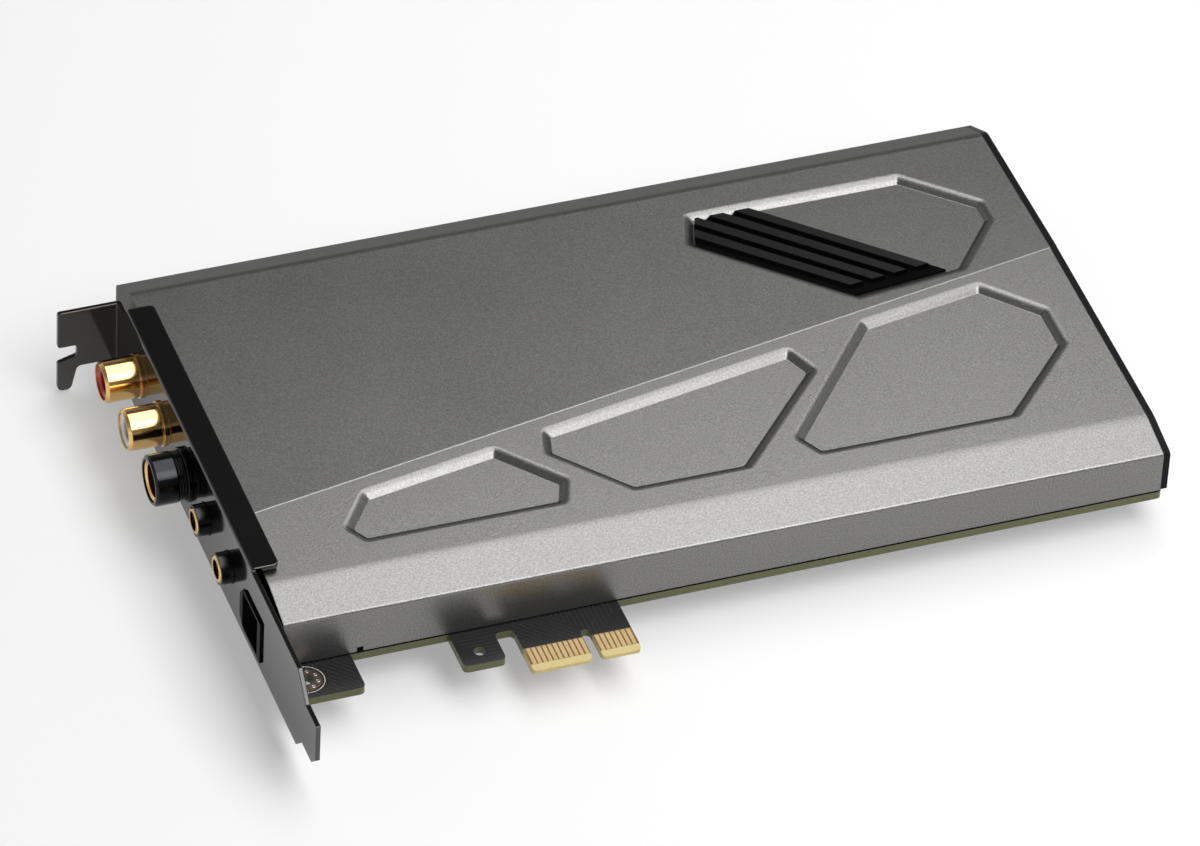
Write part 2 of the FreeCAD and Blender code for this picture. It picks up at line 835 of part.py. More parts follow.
def mini_body(y):
    x = (bracket_inner, bracket_inner + mini_body_length)
    top = jack_axis + mini_body_crown
    block = box(x, centred(y, mini_body_width), (board_top, top))
    block = block.makeChamfer(phono_lip, edges_at(block, lambda p: same(p.z, top)))
    block = block.fuse(rod_x(mini_barrel_radius, (mini_front, x[0]), y, jack_axis))
    seat = mini_bore + mini_rim_width + fit_clearance
    block = block.cut(rod_x(seat, (mini_front - cut_rise, mini_front + mini_rim_depth), y, jack_axis))
    return block.cut(rod_x(mini_bore, (mini_front, x[1] - mini_end_wall), y, jack_axis)).removeSplitter()


def mini_rim(y):
    inner = mini_bore + fit_clearance
    outer = mini_bore + mini_rim_width
    half = mini_rim_depth / 2
    seat = mini_front + mini_rim_depth
    profile = [(mini_front - half, inner), (mini_front - half, outer - half), (mini_front, outer),
               (seat, outer), (seat, inner)]
    return turned_x(profile, y, jack_axis)


# Optical port


def optical_outline():
    y = centred(optical_place, optical_width)
    z = centred(optical_axis, optical_tall)
    return [(y[0], z[0]), (y[1] - optical_clip, z[0]), (y[1], z[0] + optical_clip),
            (y[1], z[1] - optical_clip), (y[1] - optical_clip, z[1]), (y[0], z[1])]


def optical_housing():
    front = bracket_outer - optical_proud
    end = bracket_inner + optical_length
    nose = prism_x(optical_outline(), (front, bracket_inner))
    body = prism_x(moved_outline(optical_outline(), optical_shoulder), (bracket_inner, end))
    ledge_x = (end - optical_ledge_length, end - notch_clearance)
    ledge_y = centred(optical_place, optical_width + 2 * (optical_shoulder + optical_ledge))
    ledge = box(ledge_x, ledge_y, (board_top, board_top + optical_ledge_height))
    whole = nose.fuse([body, ledge]).removeSplitter()
    mouth_end = front + optical_mouth_depth
    mouth = box((front - cut_rise, mouth_end), centred(optical_place, optical_mouth_width),
                centred(optical_axis, optical_mouth_tall))
    pocket_size = emitter_size + 2 * fit_clearance
    pocket = box((end - emitter_length, end + cut_rise), centred(optical_place, pocket_size),
                 centred(optical_axis, pocket_size))
    channel = rod_x(lens_radius + fit_clearance, (mouth_end - cut_rise, end), optical_place, optical_axis)
    return whole.cut([mouth, pocket, channel])


def optical_emitter():
    end = bracket_inner + optical_length
    start = end - emitter_length
    block = box((start, end), centred(optical_place, emitter_size), centred(optical_axis, emitter_size))
    lens = rod_x(lens_radius, (start - lens_length, start), optical_place, optical_axis)
    return block.fuse(lens).removeSplitter()


# Parts on the board


def flat_chip(x, y, length, width, height):
    top = board_top + height
    chip = box(centred(x, length), centred(y, width), (board_top, top))
    return chip.makeChamfer(chip_chamfer, edges_at(chip, lambda p: same(p.z, top)))


def leads(x, y, size, z):
    """Two rows of square leads along an amplifier's sides."""
    posts = []
    first = x - lead_pitch * (leads_per_side - 1) / 2
    row = (amplifier_width + lead_width) / 2
    for i in range(leads_per_side):
        for lead_y in (y - row, y + row):
            posts.append(box(centred(first + i * lead_pitch, size), centred(lead_y, size), z))
    return posts


def amplifier_socket(x, y):
    top = board_top + socket_height
    frame = box(centred(x, socket_length), centred(y, socket_width), (board_top, top))
    trough = box(centred(x, socket_length + 2 * cut_rise), centred(y, socket_trough),
                 (board_top + socket_floor, top + cut_rise))
    holes = leads(x, y, lead_width + 2 * fit_clearance, (top - lead_drop, top + cut_rise))
    return frame.cut([trough] + holes)


def amplifier(x, y):
    low = board_top + socket_height
    top = low + amplifier_height
    body = box(centred(x, amplifier_length), centred(y, amplifier_width), (low, top))
    body = body.makeChamfer(chip_chamfer, edges_at(body, lambda p: same(p.z, top)))
    legs = leads(x, y, lead_width, (low - lead_drop + fit_clearance, low + amplifier_height / 2))
    return body.fuse(legs).removeSplitter()


def capacitor(x, y):
    foot_top = board_top + capacitor_foot_height
    foot = box(centred(x, capacitor_foot), centred(y, capacitor_foot), (board_top, foot_top))
    top = board_top + capacitor_height
    return foot.fuse(rod_z(capacitor_radius, x, y, (foot_top, top))).removeSplitter()


def regulator(x, y):
    body = flat_chip(x, y, regulator_length, regulator_width, regulator_height)
    tab_y = (y + regulator_width / 2 - chip_chamfer, y + regulator_width / 2 + regulator_tab_length)
    metal = (board_top, board_top + lead_width)
    plates = [box(centred(x, regulator_tab_width), tab_y, metal)]
    leg_y = (y - regulator_width / 2 - regulator_tab_length, y - regulator_width / 2 + chip_chamfer)
    leg_pitch = regulator_length / 3
    for i in (-1, 0, 1):
        plates.append(box(centred(x + i * leg_pitch, lead_width), leg_y, metal))
    return body.fuse(plates).removeSplitter()


def power_connector():
    back = board_upper - cover_edge_inset
    top = board_top + power_tall
    shell = box(centred(power_x, power_width), (back - power_depth, back), (board_top, top))
    mouth_y = (back - power_depth + power_wall, back + cut_rise)
    mouth = box(centred(power_x, power_width - 2 * power_wall), mouth_y,
                (board_top + power_wall, top - power_wall))
    tongue_z = centred(board_top + power_tall / 2, power_tongue)
    tongue_y = (back - power_depth, back - power_wall)
    blade = box(centred(power_x, power_width - 4 * power_wall), tongue_y, tongue_z)
    key_x = power_x - power_width / 2 + 2 * power_wall
    key = box((key_x, key_x + power_tongue), tongue_y, (tongue_z[0], tongue_z[1] + power_tongue / 2))
    return shell.cut(mouth).fuse([blade, key]).removeSplitter()


def header_rows():
    return [board_top + header_pitch / 2, board_top + header_pitch * 1.5]


def header_places():
    first = header_x - header_pitch * (header_columns - 1) / 2
    return [first + i * header_pitch for i in range(header_columns)]


header_back = board_upper - header_edge_gap - header_pin_length


def front_panel_header():
    body_y = (header_back - header_body_depth, header_back)
    body = box(centred(header_x, header_width), body_y, (board_top, board_top + 2 * header_pitch))
    size = header_pin_width + 2 * fit_clearance
    holes = []
    through = (body_y[0] - cut_rise, body_y[1] + cut_rise)
    for x in header_places():
        for z in header_rows():
            holes.append(box(centred(x, size), through, centred(z, size)))
    return body.cut(holes)


def header_pins():
    """Right-angle pins: a leg on the board behind the body and a post through it. One place is keyed."""
    pins = []
    for column, x in enumerate(header_places()):
        for row, z in enumerate(header_rows()):
            if column == header_columns - 2 and row == 1:
                continue
            width = centred(x, header_pin_width)
            setback = header_body_depth + (row + 1) * header_pin_width * 2
            leg_y = centred(header_back - setback, header_pin_width)
            post = box(width, (leg_y[0], header_back + header_pin_length), centred(z, header_pin_width))
            leg = box(width, leg_y, (board_top, z))
            pins.append(post.fuse(leg).removeSplitter())
    return Part.makeCompound(pins)


def board_parts():
    """Each small part by its node name, laid out from the jacks, the key notch and the board's edges."""
    parts = {}
    relay_x = bracket_inner + phono_body_length + part_gap + relay_length / 2
    for i, y in enumerate((right_phono_y, left_phono_y)):
        parts["output_relay_%d" % (i + 1)] = flat_chip(relay_x, y, relay_length, relay_width, relay_height)
    driver_x = relay_x + relay_length / 2 + part_gap + driver_length / 2
    parts["headphone_driver"] = flat_chip(driver_x, right_phono_y, driver_length, driver_width,
                                          flat_chip_height)

    amplifier_x = bracket_inner + headphone_body_length + part_gap + socket_length / 2
    for i in range(amplifier_count):
        y = mic_y + (i - 0.5) * socket_spacing
        parts["amplifier_socket_%d" % (i + 1)] = amplifier_socket(amplifier_x, y)
        parts["amplifier_%d" % (i + 1)] = amplifier(amplifier_x, y)

    capacitor_x = amplifier_x + socket_length / 2 + part_gap + capacitor_foot / 2
    for i in range(capacitor_columns * capacitor_rows):
        x = capacitor_x + (i % capacitor_columns) * capacitor_spacing
        y = mic_y + (i // capacitor_columns) * capacitor_spacing
        parts["capacitor_%d" % (i + 1)] = capacitor(x, y)

    capacitor_end = capacitor_x + (capacitor_columns - 1) * capacitor_spacing + capacitor_foot / 2
    converter_x = capacitor_end + part_gap + converter_length / 2
    oscillator_x = converter_x + converter_length / 2 + part_gap + oscillator_length / 2
    for i, (node, y) in enumerate((("playback_converter", headphone_y), ("capture_converter", line_y))):
        parts[node] = flat_chip(converter_x, y, converter_length, converter_width, converter_height)
        parts["clock_oscillator_%d" % (i + 1)] = flat_chip(oscillator_x, y, oscillator_length,
                                                           oscillator_width, oscillator_height)

    logic_y = board_lower + part_gap + processor_size / 2
    processor_x = bridge_size / 2 + 2 * part_gap + processor_size / 2
    memory_x = processor_x + processor_size / 2 + part_gap + memory_length / 2
    parts["bus_interface_chip"] = flat_chip(0, logic_y, bridge_size, bridge_size, flat_chip_height)
    parts["audio_processor"] = flat_chip(processor_x, logic_y, processor_size, processor_size,
                                         flat_chip_height)
    parts["memory_chip"] = flat_chip(memory_x, logic_y, memory_length, memory_width, flat_chip_height)

    inductor_y = board_upper - power_depth - part_gap - inductor_size / 2
    regulator_y = inductor_y - inductor_size / 2 - part_gap - regulator_width / 2
    for i, x in enumerate((power_x - inductor_size, power_x + inductor_size)):
        parts["inductor_%d" % (i + 1)] = flat_chip(x, inductor_y, inductor_size, inductor_size,
                                                   inductor_height)
        parts["regulator_%d" % (i + 1)] = regulator(x, regulator_y)
    return parts


os.makedirs("parts", exist_ok=True)
save("circuit_board", circuit_board())
save("edge_contacts", edge_contacts())
save("bracket", bracket())
save("cover", cover())
save("end_cap", end_cap())
save("ribbed_insert", ribbed_insert())
save("cover_screws", cover_screws())
for side, place in (("right", right_phono_y), ("left", left_phono_y)):
    save(side + "_phono_shell", phono_shell(place))
    save(side + "_phono_insulator", phono_insulator(place))
    save(side + "_phono_contact", phono_contact(place))
    save(side + "_phono_body", phono_body(place))
save("headphone_sleeve", headphone_sleeve())
save("headphone_nut", headphone_nut())
save("headphone_lock_ring", headphone_lock_ring())
save("headphone_body", headphone_body())
save("headphone_springs", headphone_springs())
for name, place in (("line", line_y), ("microphone", mic_y)):
    save(name + "_jack_body", mini_body(place))
    save(name + "_jack_rim", mini_rim(place))
save("optical_housing", optical_housing())
save("optical_emitter", optical_emitter())
save("power_connector", power_connector())
save("front_panel_header", front_panel_header())
save("header_pins", header_pins())
for node, shape in board_parts().items():
    save(node, shape)
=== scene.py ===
import math

import bmesh
import bpy
from mathutils import Matrix, Vector


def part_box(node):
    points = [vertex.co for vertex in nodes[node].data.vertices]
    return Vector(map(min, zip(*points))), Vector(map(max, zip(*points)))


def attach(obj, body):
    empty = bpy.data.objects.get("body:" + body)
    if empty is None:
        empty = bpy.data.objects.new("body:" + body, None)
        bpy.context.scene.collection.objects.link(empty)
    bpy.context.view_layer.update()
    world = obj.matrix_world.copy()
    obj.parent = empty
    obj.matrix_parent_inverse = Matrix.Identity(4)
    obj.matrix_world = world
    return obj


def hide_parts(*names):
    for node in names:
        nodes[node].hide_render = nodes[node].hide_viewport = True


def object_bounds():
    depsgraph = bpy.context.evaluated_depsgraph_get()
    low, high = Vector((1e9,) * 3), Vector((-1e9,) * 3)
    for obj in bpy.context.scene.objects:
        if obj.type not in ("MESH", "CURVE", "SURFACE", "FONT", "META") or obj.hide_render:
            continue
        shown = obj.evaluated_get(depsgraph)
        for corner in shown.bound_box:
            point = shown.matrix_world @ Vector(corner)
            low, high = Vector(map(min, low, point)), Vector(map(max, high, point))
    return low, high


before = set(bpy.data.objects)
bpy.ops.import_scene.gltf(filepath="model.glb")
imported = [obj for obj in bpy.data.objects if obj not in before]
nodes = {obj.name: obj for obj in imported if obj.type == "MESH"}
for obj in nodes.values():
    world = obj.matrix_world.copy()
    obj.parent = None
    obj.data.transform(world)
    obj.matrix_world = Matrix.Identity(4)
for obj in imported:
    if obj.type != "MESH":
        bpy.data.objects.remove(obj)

cadBox = [list(corner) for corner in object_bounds()]
mm = 0.001
print("frame loaded:", len(nodes), "nodes")


# small helpers for node trees and meshes

def addNode(tree, kind, **values):
    node = tree.nodes.new(kind)
    for key, value in values.items():
        setattr(node, key, value)
    return node


def link(tree, outSocket, inSocket):
    tree.links.new(outSocket, inSocket)


def math2(tree, operation, first, second=None, clamp=False):
    node = addNode(tree, "ShaderNodeMath", operation=operation, use_clamp=clamp)
    for index, value in enumerate((first, second)):
        if value is None:
            continue
        if isinstance(value, (int, float)):
            node.inputs[index].default_value = value
        else:
            link(tree, value, node.inputs[index])
    return node.outputs[0]


def blendColours(tree, factor, first, second):
    node = addNode(tree, "ShaderNodeMix", data_type="RGBA")
    for socket, value in ((node.inputs[0], factor), (node.inputs[6], first), (node.inputs[7], second)):
        if isinstance(value, tuple):
            socket.default_value = (*value, 1.0)
        else:
            link(tree, value, socket)
    return node.outputs[2]


def spread(tree, value, low, high, start=0.0, stop=1.0):
    node = addNode(tree, "ShaderNodeMapRange")
    link(tree, value, node.inputs["Value"])
    for label, number in (("From Min", start), ("From Max", stop), ("To Min", low), ("To Max", high)):
        node.inputs[label].default_value = number
    return node.outputs["Result"]


def newGroup(name, inputs, outputs):
    tree = bpy.data.node_groups.new(name, "ShaderNodeTree")
    for label, kind, value in inputs:
        socket = tree.interface.new_socket(name=label, in_out="INPUT", socket_type=kind)
        socket.default_value = value
    for label, kind in outputs:
        tree.interface.new_socket(name=label, in_out="OUTPUT", socket_type=kind)
    return tree, tree.nodes.new("NodeGroupInput"), tree.nodes.new("NodeGroupOutput")


def placeGroup(tree, group, **values):
    node = addNode(tree, "ShaderNodeGroup", node_tree=group)
    for label, value in values.items():
        node.inputs[label].default_value = value
    return node


def newMaterial(name, metallic=0.0, ior=1.5):
    material = bpy.data.materials.new(name)
    material.use_nodes = True
    shader = material.node_tree.nodes["Principled BSDF"]
    shader.inputs["Metallic"].default_value = metallic
    shader.inputs["IOR"].default_value = ior
    return material, material.node_tree, shader


def bumpFrom(tree, shader, height, strength, distance, normal=None):
    bump = addNode(tree, "ShaderNodeBump")
    bump.inputs["Strength"].default_value = strength
    bump.inputs["Distance"].default_value = distance
    link(tree, height, bump.inputs["Height"])
    if normal is not None:
        link(tree, normal, bump.inputs["Normal"])
    link(tree, bump.outputs["Normal"], shader.inputs["Normal"])


def addMesh(name, mesh, material):
    piece = bpy.data.objects.new(name, mesh)
    bpy.context.scene.collection.objects.link(piece)
    piece.data.materials.append(material)
    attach(piece, "root")
    return piece


def meshFrom(name, builder, smooth=None):
    bm = bmesh.new()
    builder(bm)
    mesh = bpy.data.meshes.new(name)
    bmesh.ops.recalc_face_normals(bm, faces=bm.faces)
    bm.to_mesh(mesh)
    bm.free()
    if smooth is not None:
        mesh.polygons.foreach_set("use_smooth", [True] * len(mesh.polygons))
        mesh.set_sharp_from_angle(angle=math.radians(smooth))
    return mesh


def turn(bm, profile, place, axis, steps):
    axis = Vector(axis)
    side = axis.orthogonal().normalized()
    other = axis.cross(side)
    rings = []
    for along, radius in profile:
        middle = Vector(place) + axis * along
        count = steps if radius > 1e-7 else 1
        ring = []
        for i in range(count):
            angle = 2 * math.pi * i / count
            ring.append(bm.verts.new(middle + (side * math.cos(angle) + other * math.sin(angle)) * radius))
        rings.append(ring)
    for low, high in zip(rings, rings[1:]):
        for i in range(steps):
            j = (i + 1) % steps
            corners = [low[i % len(low)], low[j % len(low)], high[j % len(high)], high[i % len(high)]]
            corners = list(dict.fromkeys(corners))
            if len(corners) > 2:
                bm.faces.new(corners)


def block(bm, low, high, chamfer):
    made = bmesh.ops.create_cube(bm, size=1.0)["verts"]
    low, high = Vector(low), Vector(high)
    for vert in made:
        vert.co = Vector((low[k] if vert.co[k] < 0 else high[k] for k in range(3)))
    edges = list({edge for vert in made for edge in vert.link_edges})
    bmesh.ops.bevel(bm, geom=edges, offset=chamfer, segments=1, affect="EDGES")


def flatRing(bm, place, inner, outer, steps):
    rings = []
    for radius in (inner, outer):
        rings.append([bm.verts.new((place[0] + radius * math.cos(2 * math.pi * i / steps),
                                    place[1] + radius * math.sin(2 * math.pi * i / steps), place[2]))
                      for i in range(steps)])
    for i in range(steps):
        j = (i + 1) % steps
        bm.faces.new((rings[0][i], rings[1][i], rings[1][j], rings[0][j]))


# shared effects

grainSettings = {"fineDetail": 2.5, "broadDetail": 4.0}


def buildGrain(settings):
    tree, groupIn, groupOut = newGroup(
        "fineGrain",
        [("Grain", "NodeSocketFloat", 3000.0), ("Mottle", "NodeSocketFloat", 60.0)],
        [("Height", "NodeSocketFloat"), ("Patch", "NodeSocketFloat")])
    place = addNode(tree, "ShaderNodeTexCoord")
    fine = addNode(tree, "ShaderNodeTexNoise")
    fine.inputs["Detail"].default_value = settings["fineDetail"]
    broad = addNode(tree, "ShaderNodeTexNoise")
    broad.inputs["Detail"].default_value = settings["broadDetail"]
    for noise, label in ((fine, "Grain"), (broad, "Mottle")):
        link(tree, place.outputs["Object"], noise.inputs["Vector"])
        link(tree, groupIn.outputs[label], noise.inputs["Scale"])
    link(tree, fine.outputs["Fac"], groupOut.inputs["Height"])
    link(tree, broad.outputs["Fac"], groupOut.inputs["Patch"])
    return tree


edgeSettings = {"samples": 6, "gain": 8.0}


def buildEdge(settings):
    tree, groupIn, groupOut = newGroup(
        "softEdge", [("Radius", "NodeSocketFloat", 0.0003)],
        [("Normal", "NodeSocketVector"), ("Edge", "NodeSocketFloat")])
    bevel = addNode(tree, "ShaderNodeBevel", samples=settings["samples"])
    link(tree, groupIn.outputs["Radius"], bevel.inputs["Radius"])
    plain = addNode(tree, "ShaderNodeNewGeometry")
    dot = addNode(tree, "ShaderNodeVectorMath", operation="DOT_PRODUCT")
    link(tree, bevel.outputs["Normal"], dot.inputs[0])
    link(tree, plain.outputs["Normal"], dot.inputs[1])
    bend = math2(tree, "SUBTRACT", 1.0, dot.outputs["Value"])
    edge = math2(tree, "MULTIPLY", bend, settings["gain"], clamp=True)
    link(tree, bevel.outputs["Normal"], groupOut.inputs["Normal"])
    link(tree, edge, groupOut.inputs["Edge"])
    return tree


def buildTurning():
    tree, groupIn, groupOut = newGroup(
        "turningLines", [("Lines", "NodeSocketFloat", 5000.0)], [("Height", "NodeSocketFloat")])
    place = addNode(tree, "ShaderNodeTexCoord")
    split = addNode(tree, "ShaderNodeSeparateXYZ")
    link(tree, place.outputs["Object"], split.inputs[0])
    along = addNode(tree, "ShaderNodeTexNoise", noise_dimensions="1D")
    along.inputs["Detail"].default_value = 2.0
    link(tree, split.outputs["X"], along.inputs["W"])
    link(tree, groupIn.outputs["Lines"], along.inputs["Scale"])
    link(tree, along.outputs["Fac"], groupOut.inputs["Height"])
    return tree


grainGroup = buildGrain(grainSettings)
edgeGroup = buildEdge(edgeSettings)
turningGroup = buildTurning()
print("shared effects ready")


# finishes

def buildBlasted(settings):
    material, tree, shader = newMaterial("blastedAluminium", metallic=settings["metallic"])
    grain = placeGroup(tree, grainGroup, Grain=settings["grain"], Mottle=settings["mottle"])
    edge = placeGroup(tree, edgeGroup, Radius=settings["edgeRadius"])
    speckle = settings["speckle"]
    shade = spread(tree, grain.outputs["Height"], 1.0 - speckle, 1.0 + speckle, *settings["speckleRange"])
    patch = spread(tree, grain.outputs["Patch"], 1.0 - settings["patch"], 1.0 + settings["patch"])
    tint = math2(tree, "MULTIPLY", shade, patch)
    scale = addNode(tree, "ShaderNodeVectorMath", operation="SCALE")
    scale.inputs[0].default_value = settings["colour"]
    link(tree, tint, scale.inputs["Scale"])
    # the lighter edgeColour along the edge mask is a painted highlight on the edges
    paintedEdgeHighlight = blendColours(tree, edge.outputs["Edge"], scale.outputs[0], settings["edgeColour"])
    link(tree, paintedEdgeHighlight, shader.inputs["Base Color"])
    rough = spread(tree, grain.outputs["Patch"], *settings["rough"])
    link(tree, rough, shader.inputs["Roughness"])
    shader.inputs["Specular Tint"].default_value = (*settings["glance"], 1.0)
    bumpFrom(tree, shader, grain.outputs["Height"], settings["bump"], settings["bumpDepth"],
             edge.outputs["Normal"])
    return material


# edgeColour is lighter than colour: a painted highlight along the edges
blastedAluminium = buildBlasted({
    "colour": (0.210, 0.208, 0.203), "edgeColour": (0.25, 0.248, 0.243), "metallic": 0.93,
    "glance": (0.34, 0.34, 0.34), "speckle": 0.22, "speckleRange": (0.3, 0.7), "patch": 0.03,
    "grain": 3000.0, "mottle": 45.0, "rough": (0.295, 0.355), "bump": 0.3, "bumpDepth": 0.1 * mm,
    "edgeRadius": 0.25 * mm})


platedSettings = {"roughLow": 0.7, "roughHigh": 1.4, "bumpDepth": 0.02 * mm}


def buildPlated(name, settings):
    material, tree, shader = newMaterial(name, metallic=1.0)
    grain = placeGroup(tree, grainGroup, Mottle=settings["mottle"])
    edge = placeGroup(tree, edgeGroup, Radius=settings["edgeRadius"])
    lines = placeGroup(tree, turningGroup, Lines=settings["lines"])
    colour = blendColours(tree, grain.outputs["Patch"], settings["colour"], settings["shade"])
    link(tree, colour, shader.inputs["Base Color"])
    rough = spread(tree, grain.outputs["Patch"], settings["rough"] * platedSettings["roughLow"],
                   settings["rough"] * platedSettings["roughHigh"])
    link(tree, rough, shader.inputs["Roughness"])
    bumpFrom(tree, shader, lines.outputs["Height"], settings["bump"], platedSettings["bumpDepth"],
             edge.outputs["Normal"])
    return material


goldPlate = buildPlated("goldPlate", {
    "colour": (0.86, 0.57, 0.24), "shade": (0.78, 0.48, 0.18), "rough": 0.13,
    "mottle": 220.0, "lines": 9000.0, "bump": 0.08, "edgeRadius": 0.12 * mm})
contactGold = buildPlated("contactGold", {
    "colour": (0.62, 0.455, 0.24), "shade": (0.54, 0.39, 0.20), "rough": 0.48,
    "mottle": 900.0, "lines": 3000.0, "bump": 0.05, "edgeRadius": 0.03 * mm})
blackNickel = buildPlated("blackNickel", {
    "colour": (0.105, 0.102, 0.100), "shade": (0.090, 0.088, 0.086), "rough": 0.09,
    "mottle": 90.0, "lines": 300.0, "bump": 0.01, "edgeRadius": 0.35 * mm})
blackAnodised = buildPlated("blackAnodised", {
    "colour": (0.030, 0.031, 0.033), "shade": (0.021, 0.022, 0.024), "rough": 0.16,
    "mottle": 300.0, "lines": 6000.0, "bump": 0.06, "edgeRadius": 0.20 * mm})
springSteel = buildPlated("springSteel", {
    "colour": (0.58, 0.57, 0.55), "shade": (0.50, 0.49, 0.48), "rough": 0.28,
    "mottle": 300.0, "lines": 4000.0, "bump": 0.05, "edgeRadius": 0.10 * mm})


mouldedSettings = {"roughSpread": 0.05, "bumpDepth": 0.05 * mm}


def buildMoulded(name, settings):
    material, tree, shader = newMaterial(name, ior=settings.get("ior", 1.5))
    grain = placeGroup(tree, grainGroup, Grain=settings["grain"], Mottle=settings["mottle"])
    edge = placeGroup(tree, edgeGroup, Radius=settings["edgeRadius"])
    body = blendColours(tree, grain.outputs["Patch"], settings["colour"], settings["shade"])
    # edgeColour along the edge mask is a painted highlight on the edges
    paintedEdgeHighlight = blendColours(tree, edge.outputs["Edge"], body, settings["edgeColour"])
    link(tree, paintedEdgeHighlight, shader.inputs["Base Color"])
    rough = spread(tree, grain.outputs["Height"], settings["rough"] - mouldedSettings["roughSpread"],
                   settings["rough"] + mouldedSettings["roughSpread"])
    link(tree, rough, shader.inputs["Roughness"])
    bumpFrom(tree, shader, grain.outputs["Height"], settings["bump"], mouldedSettings["bumpDepth"],
             edge.outputs["Normal"])
    return material


# the lighter edgeColour in these finishes is a painted edge highlight
blackMoulding = buildMoulded("blackMoulding", {
    "colour": (0.007, 0.007, 0.0078), "shade": (0.010, 0.010, 0.011), "edgeColour": (0.013, 0.013, 0.014),
    "ior": 1.15, "rough": 0.42, "grain": 3000.0, "mottle": 200.0, "bump": 0.14, "edgeRadius": 0.20 * mm})
jackGloss = buildMoulded("jackGloss", {
    "colour": (0.002, 0.002, 0.0021), "shade": (0.003, 0.003, 0.0031), "edgeColour": (0.003, 0.003, 0.0031),
    "rough": 0.22, "grain": 3000.0, "mottle": 200.0, "bump": 0.05, "edgeRadius": 0.25 * mm})
redInsulator = buildMoulded("redInsulator", {
    "colour": (0.42, 0.018, 0.016), "shade": (0.36, 0.014, 0.013), "edgeColour": (0.46, 0.03, 0.03),
    "rough": 0.24, "grain": 2500.0, "mottle": 400.0, "bump": 0.06, "edgeRadius": 0.15 * mm})
whiteInsulator = buildMoulded("whiteInsulator", {
    "colour": (0.74, 0.73, 0.75), "shade": (0.68, 0.67, 0.69), "edgeColour": (0.78, 0.77, 0.78),
    "rough": 0.24, "grain": 2500.0, "mottle": 400.0, "bump": 0.06, "edgeRadius": 0.15 * mm})
chipEpoxy = buildMoulded("chipEpoxy", {
    "colour": (0.020, 0.020, 0.022), "shade": (0.027, 0.027, 0.029), "edgeColour": (0.035, 0.035, 0.037),
    "rough": 0.50, "grain": 6000.0, "mottle": 300.0, "bump": 0.30, "edgeRadius": 0.10 * mm})
relayCase = buildMoulded("relayCase", {
    "colour": (0.62, 0.61, 0.57), "shade": (0.57, 0.56, 0.52), "edgeColour": (0.66, 0.65, 0.61),
    "rough": 0.45, "grain": 3000.0, "mottle": 200.0, "bump": 0.15, "edgeRadius": 0.20 * mm})
canMetal = buildPlated("canMetal", {
    "colour": (0.66, 0.66, 0.67), "shade": (0.58, 0.58, 0.59), "rough": 0.30,
    "mottle": 300.0, "lines": 4000.0, "bump": 0.05, "edgeRadius": 0.20 * mm})


def buildRibs(settings):
    material, tree, shader = newMaterial("ribMoulding", ior=settings["ior"])
    grain = placeGroup(tree, grainGroup, Grain=settings["grain"], Mottle=settings["mottle"])
    edge = placeGroup(tree, edgeGroup, Radius=settings["edgeRadius"])
    body = blendColours(tree, grain.outputs["Patch"], settings["colour"], settings["shade"])
    link(tree, body, shader.inputs["Base Color"])
    rough = spread(tree, grain.outputs["Height"], settings["rough"] - mouldedSettings["roughSpread"],
                   settings["rough"] + mouldedSettings["roughSpread"])
    link(tree, rough, shader.inputs["Roughness"])
    place = addNode(tree, "ShaderNodeTexCoord")
    split = addNode(tree, "ShaderNodeSeparateXYZ")
    link(tree, place.outputs["Object"], split.inputs[0])
    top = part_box("ribbed_insert")[1].z
    polish = spread(tree, split.outputs["Z"], 0.0, 1.0, top - settings["polishDepth"],
                    top - settings["polishStart"])
    link(tree, polish, shader.inputs["Coat Weight"])  # only the rib tops are polished
    shader.inputs["Coat Roughness"].default_value = settings["polishRough"]
    bumpFrom(tree, shader, grain.outputs["Height"], settings["bump"], mouldedSettings["bumpDepth"],
             edge.outputs["Normal"])
    return material


ribMoulding = buildRibs({
    "colour": (0.002, 0.002, 0.0021), "shade": (0.003, 0.003, 0.0031), "ior": 1.08, "rough": 0.50,
    "polishDepth": 0.14 * mm, "polishStart": 0.02 * mm, "polishRough": 0.22, "grain": 3000.0,
    "mottle": 200.0, "bump": 0.05, "edgeRadius": 0.06 * mm})


def buildLens(settings):
    material, tree, shader = newMaterial("emitterLens", ior=settings["ior"])
    grain = placeGroup(tree, grainGroup, Grain=settings["grain"], Mottle=settings["mottle"])
    colour = blendColours(tree, grain.outputs["Patch"], settings["colour"], settings["shade"])
    link(tree, colour, shader.inputs["Base Color"])
    shader.inputs["Roughness"].default_value = settings["rough"]
    bumpFrom(tree, shader, grain.outputs["Height"], settings["bump"], settings["bumpDepth"])
    return material


emitterLens = buildLens({
    "colour": (0.20, 0.008, 0.008), "shade": (0.14, 0.005, 0.006), "ior": 1.49, "rough": 0.15,
    "grain": 1500.0, "mottle": 300.0, "bump": 0.03, "bumpDepth": 0.02 * mm})

boardSettings = {
    "maskColour": (0.0045, 0.0045, 0.0052), "maskShade": (0.008, 0.008, 0.009),
    "edgeColour": (0.118, 0.122, 0.055), "edgeShade": (0.088, 0.092, 0.038),
    "bareColour": (0.60, 0.49, 0.20), "bareShade": (0.50, 0.40, 0.15),
    "gapColour": (0.24, 0.135, 0.045), "gapShade": (0.18, 0.10, 0.032),
    "bevelTop": 1.3 * mm, "bareTop": 5.75 * mm, "tongueLeft": -12.6 * mm, "tongueRight": 8.6 * mm,
    "copperColour": (0.022, 0.022, 0.024), "copperShow": 0.6, "patchScale": 75.0, "patchStep": 0.2,
    "runWays": ((1, 0), (0, 1), (0.707, 0.707), (0.707, -0.707)), "runScale": 1100.0, "runWidth": 0.17,
    "viaScale": 260.0, "viaSize": 0.09, "viaShare": 0.35, "flatLimit": 0.9, "ior": 1.40,
    "grain": 2500.0, "mottle": 120.0, "rough": (0.22, 0.32), "grainRise": 0.2, "bump": 0.25,
    "bumpDepth": 0.04 * mm}


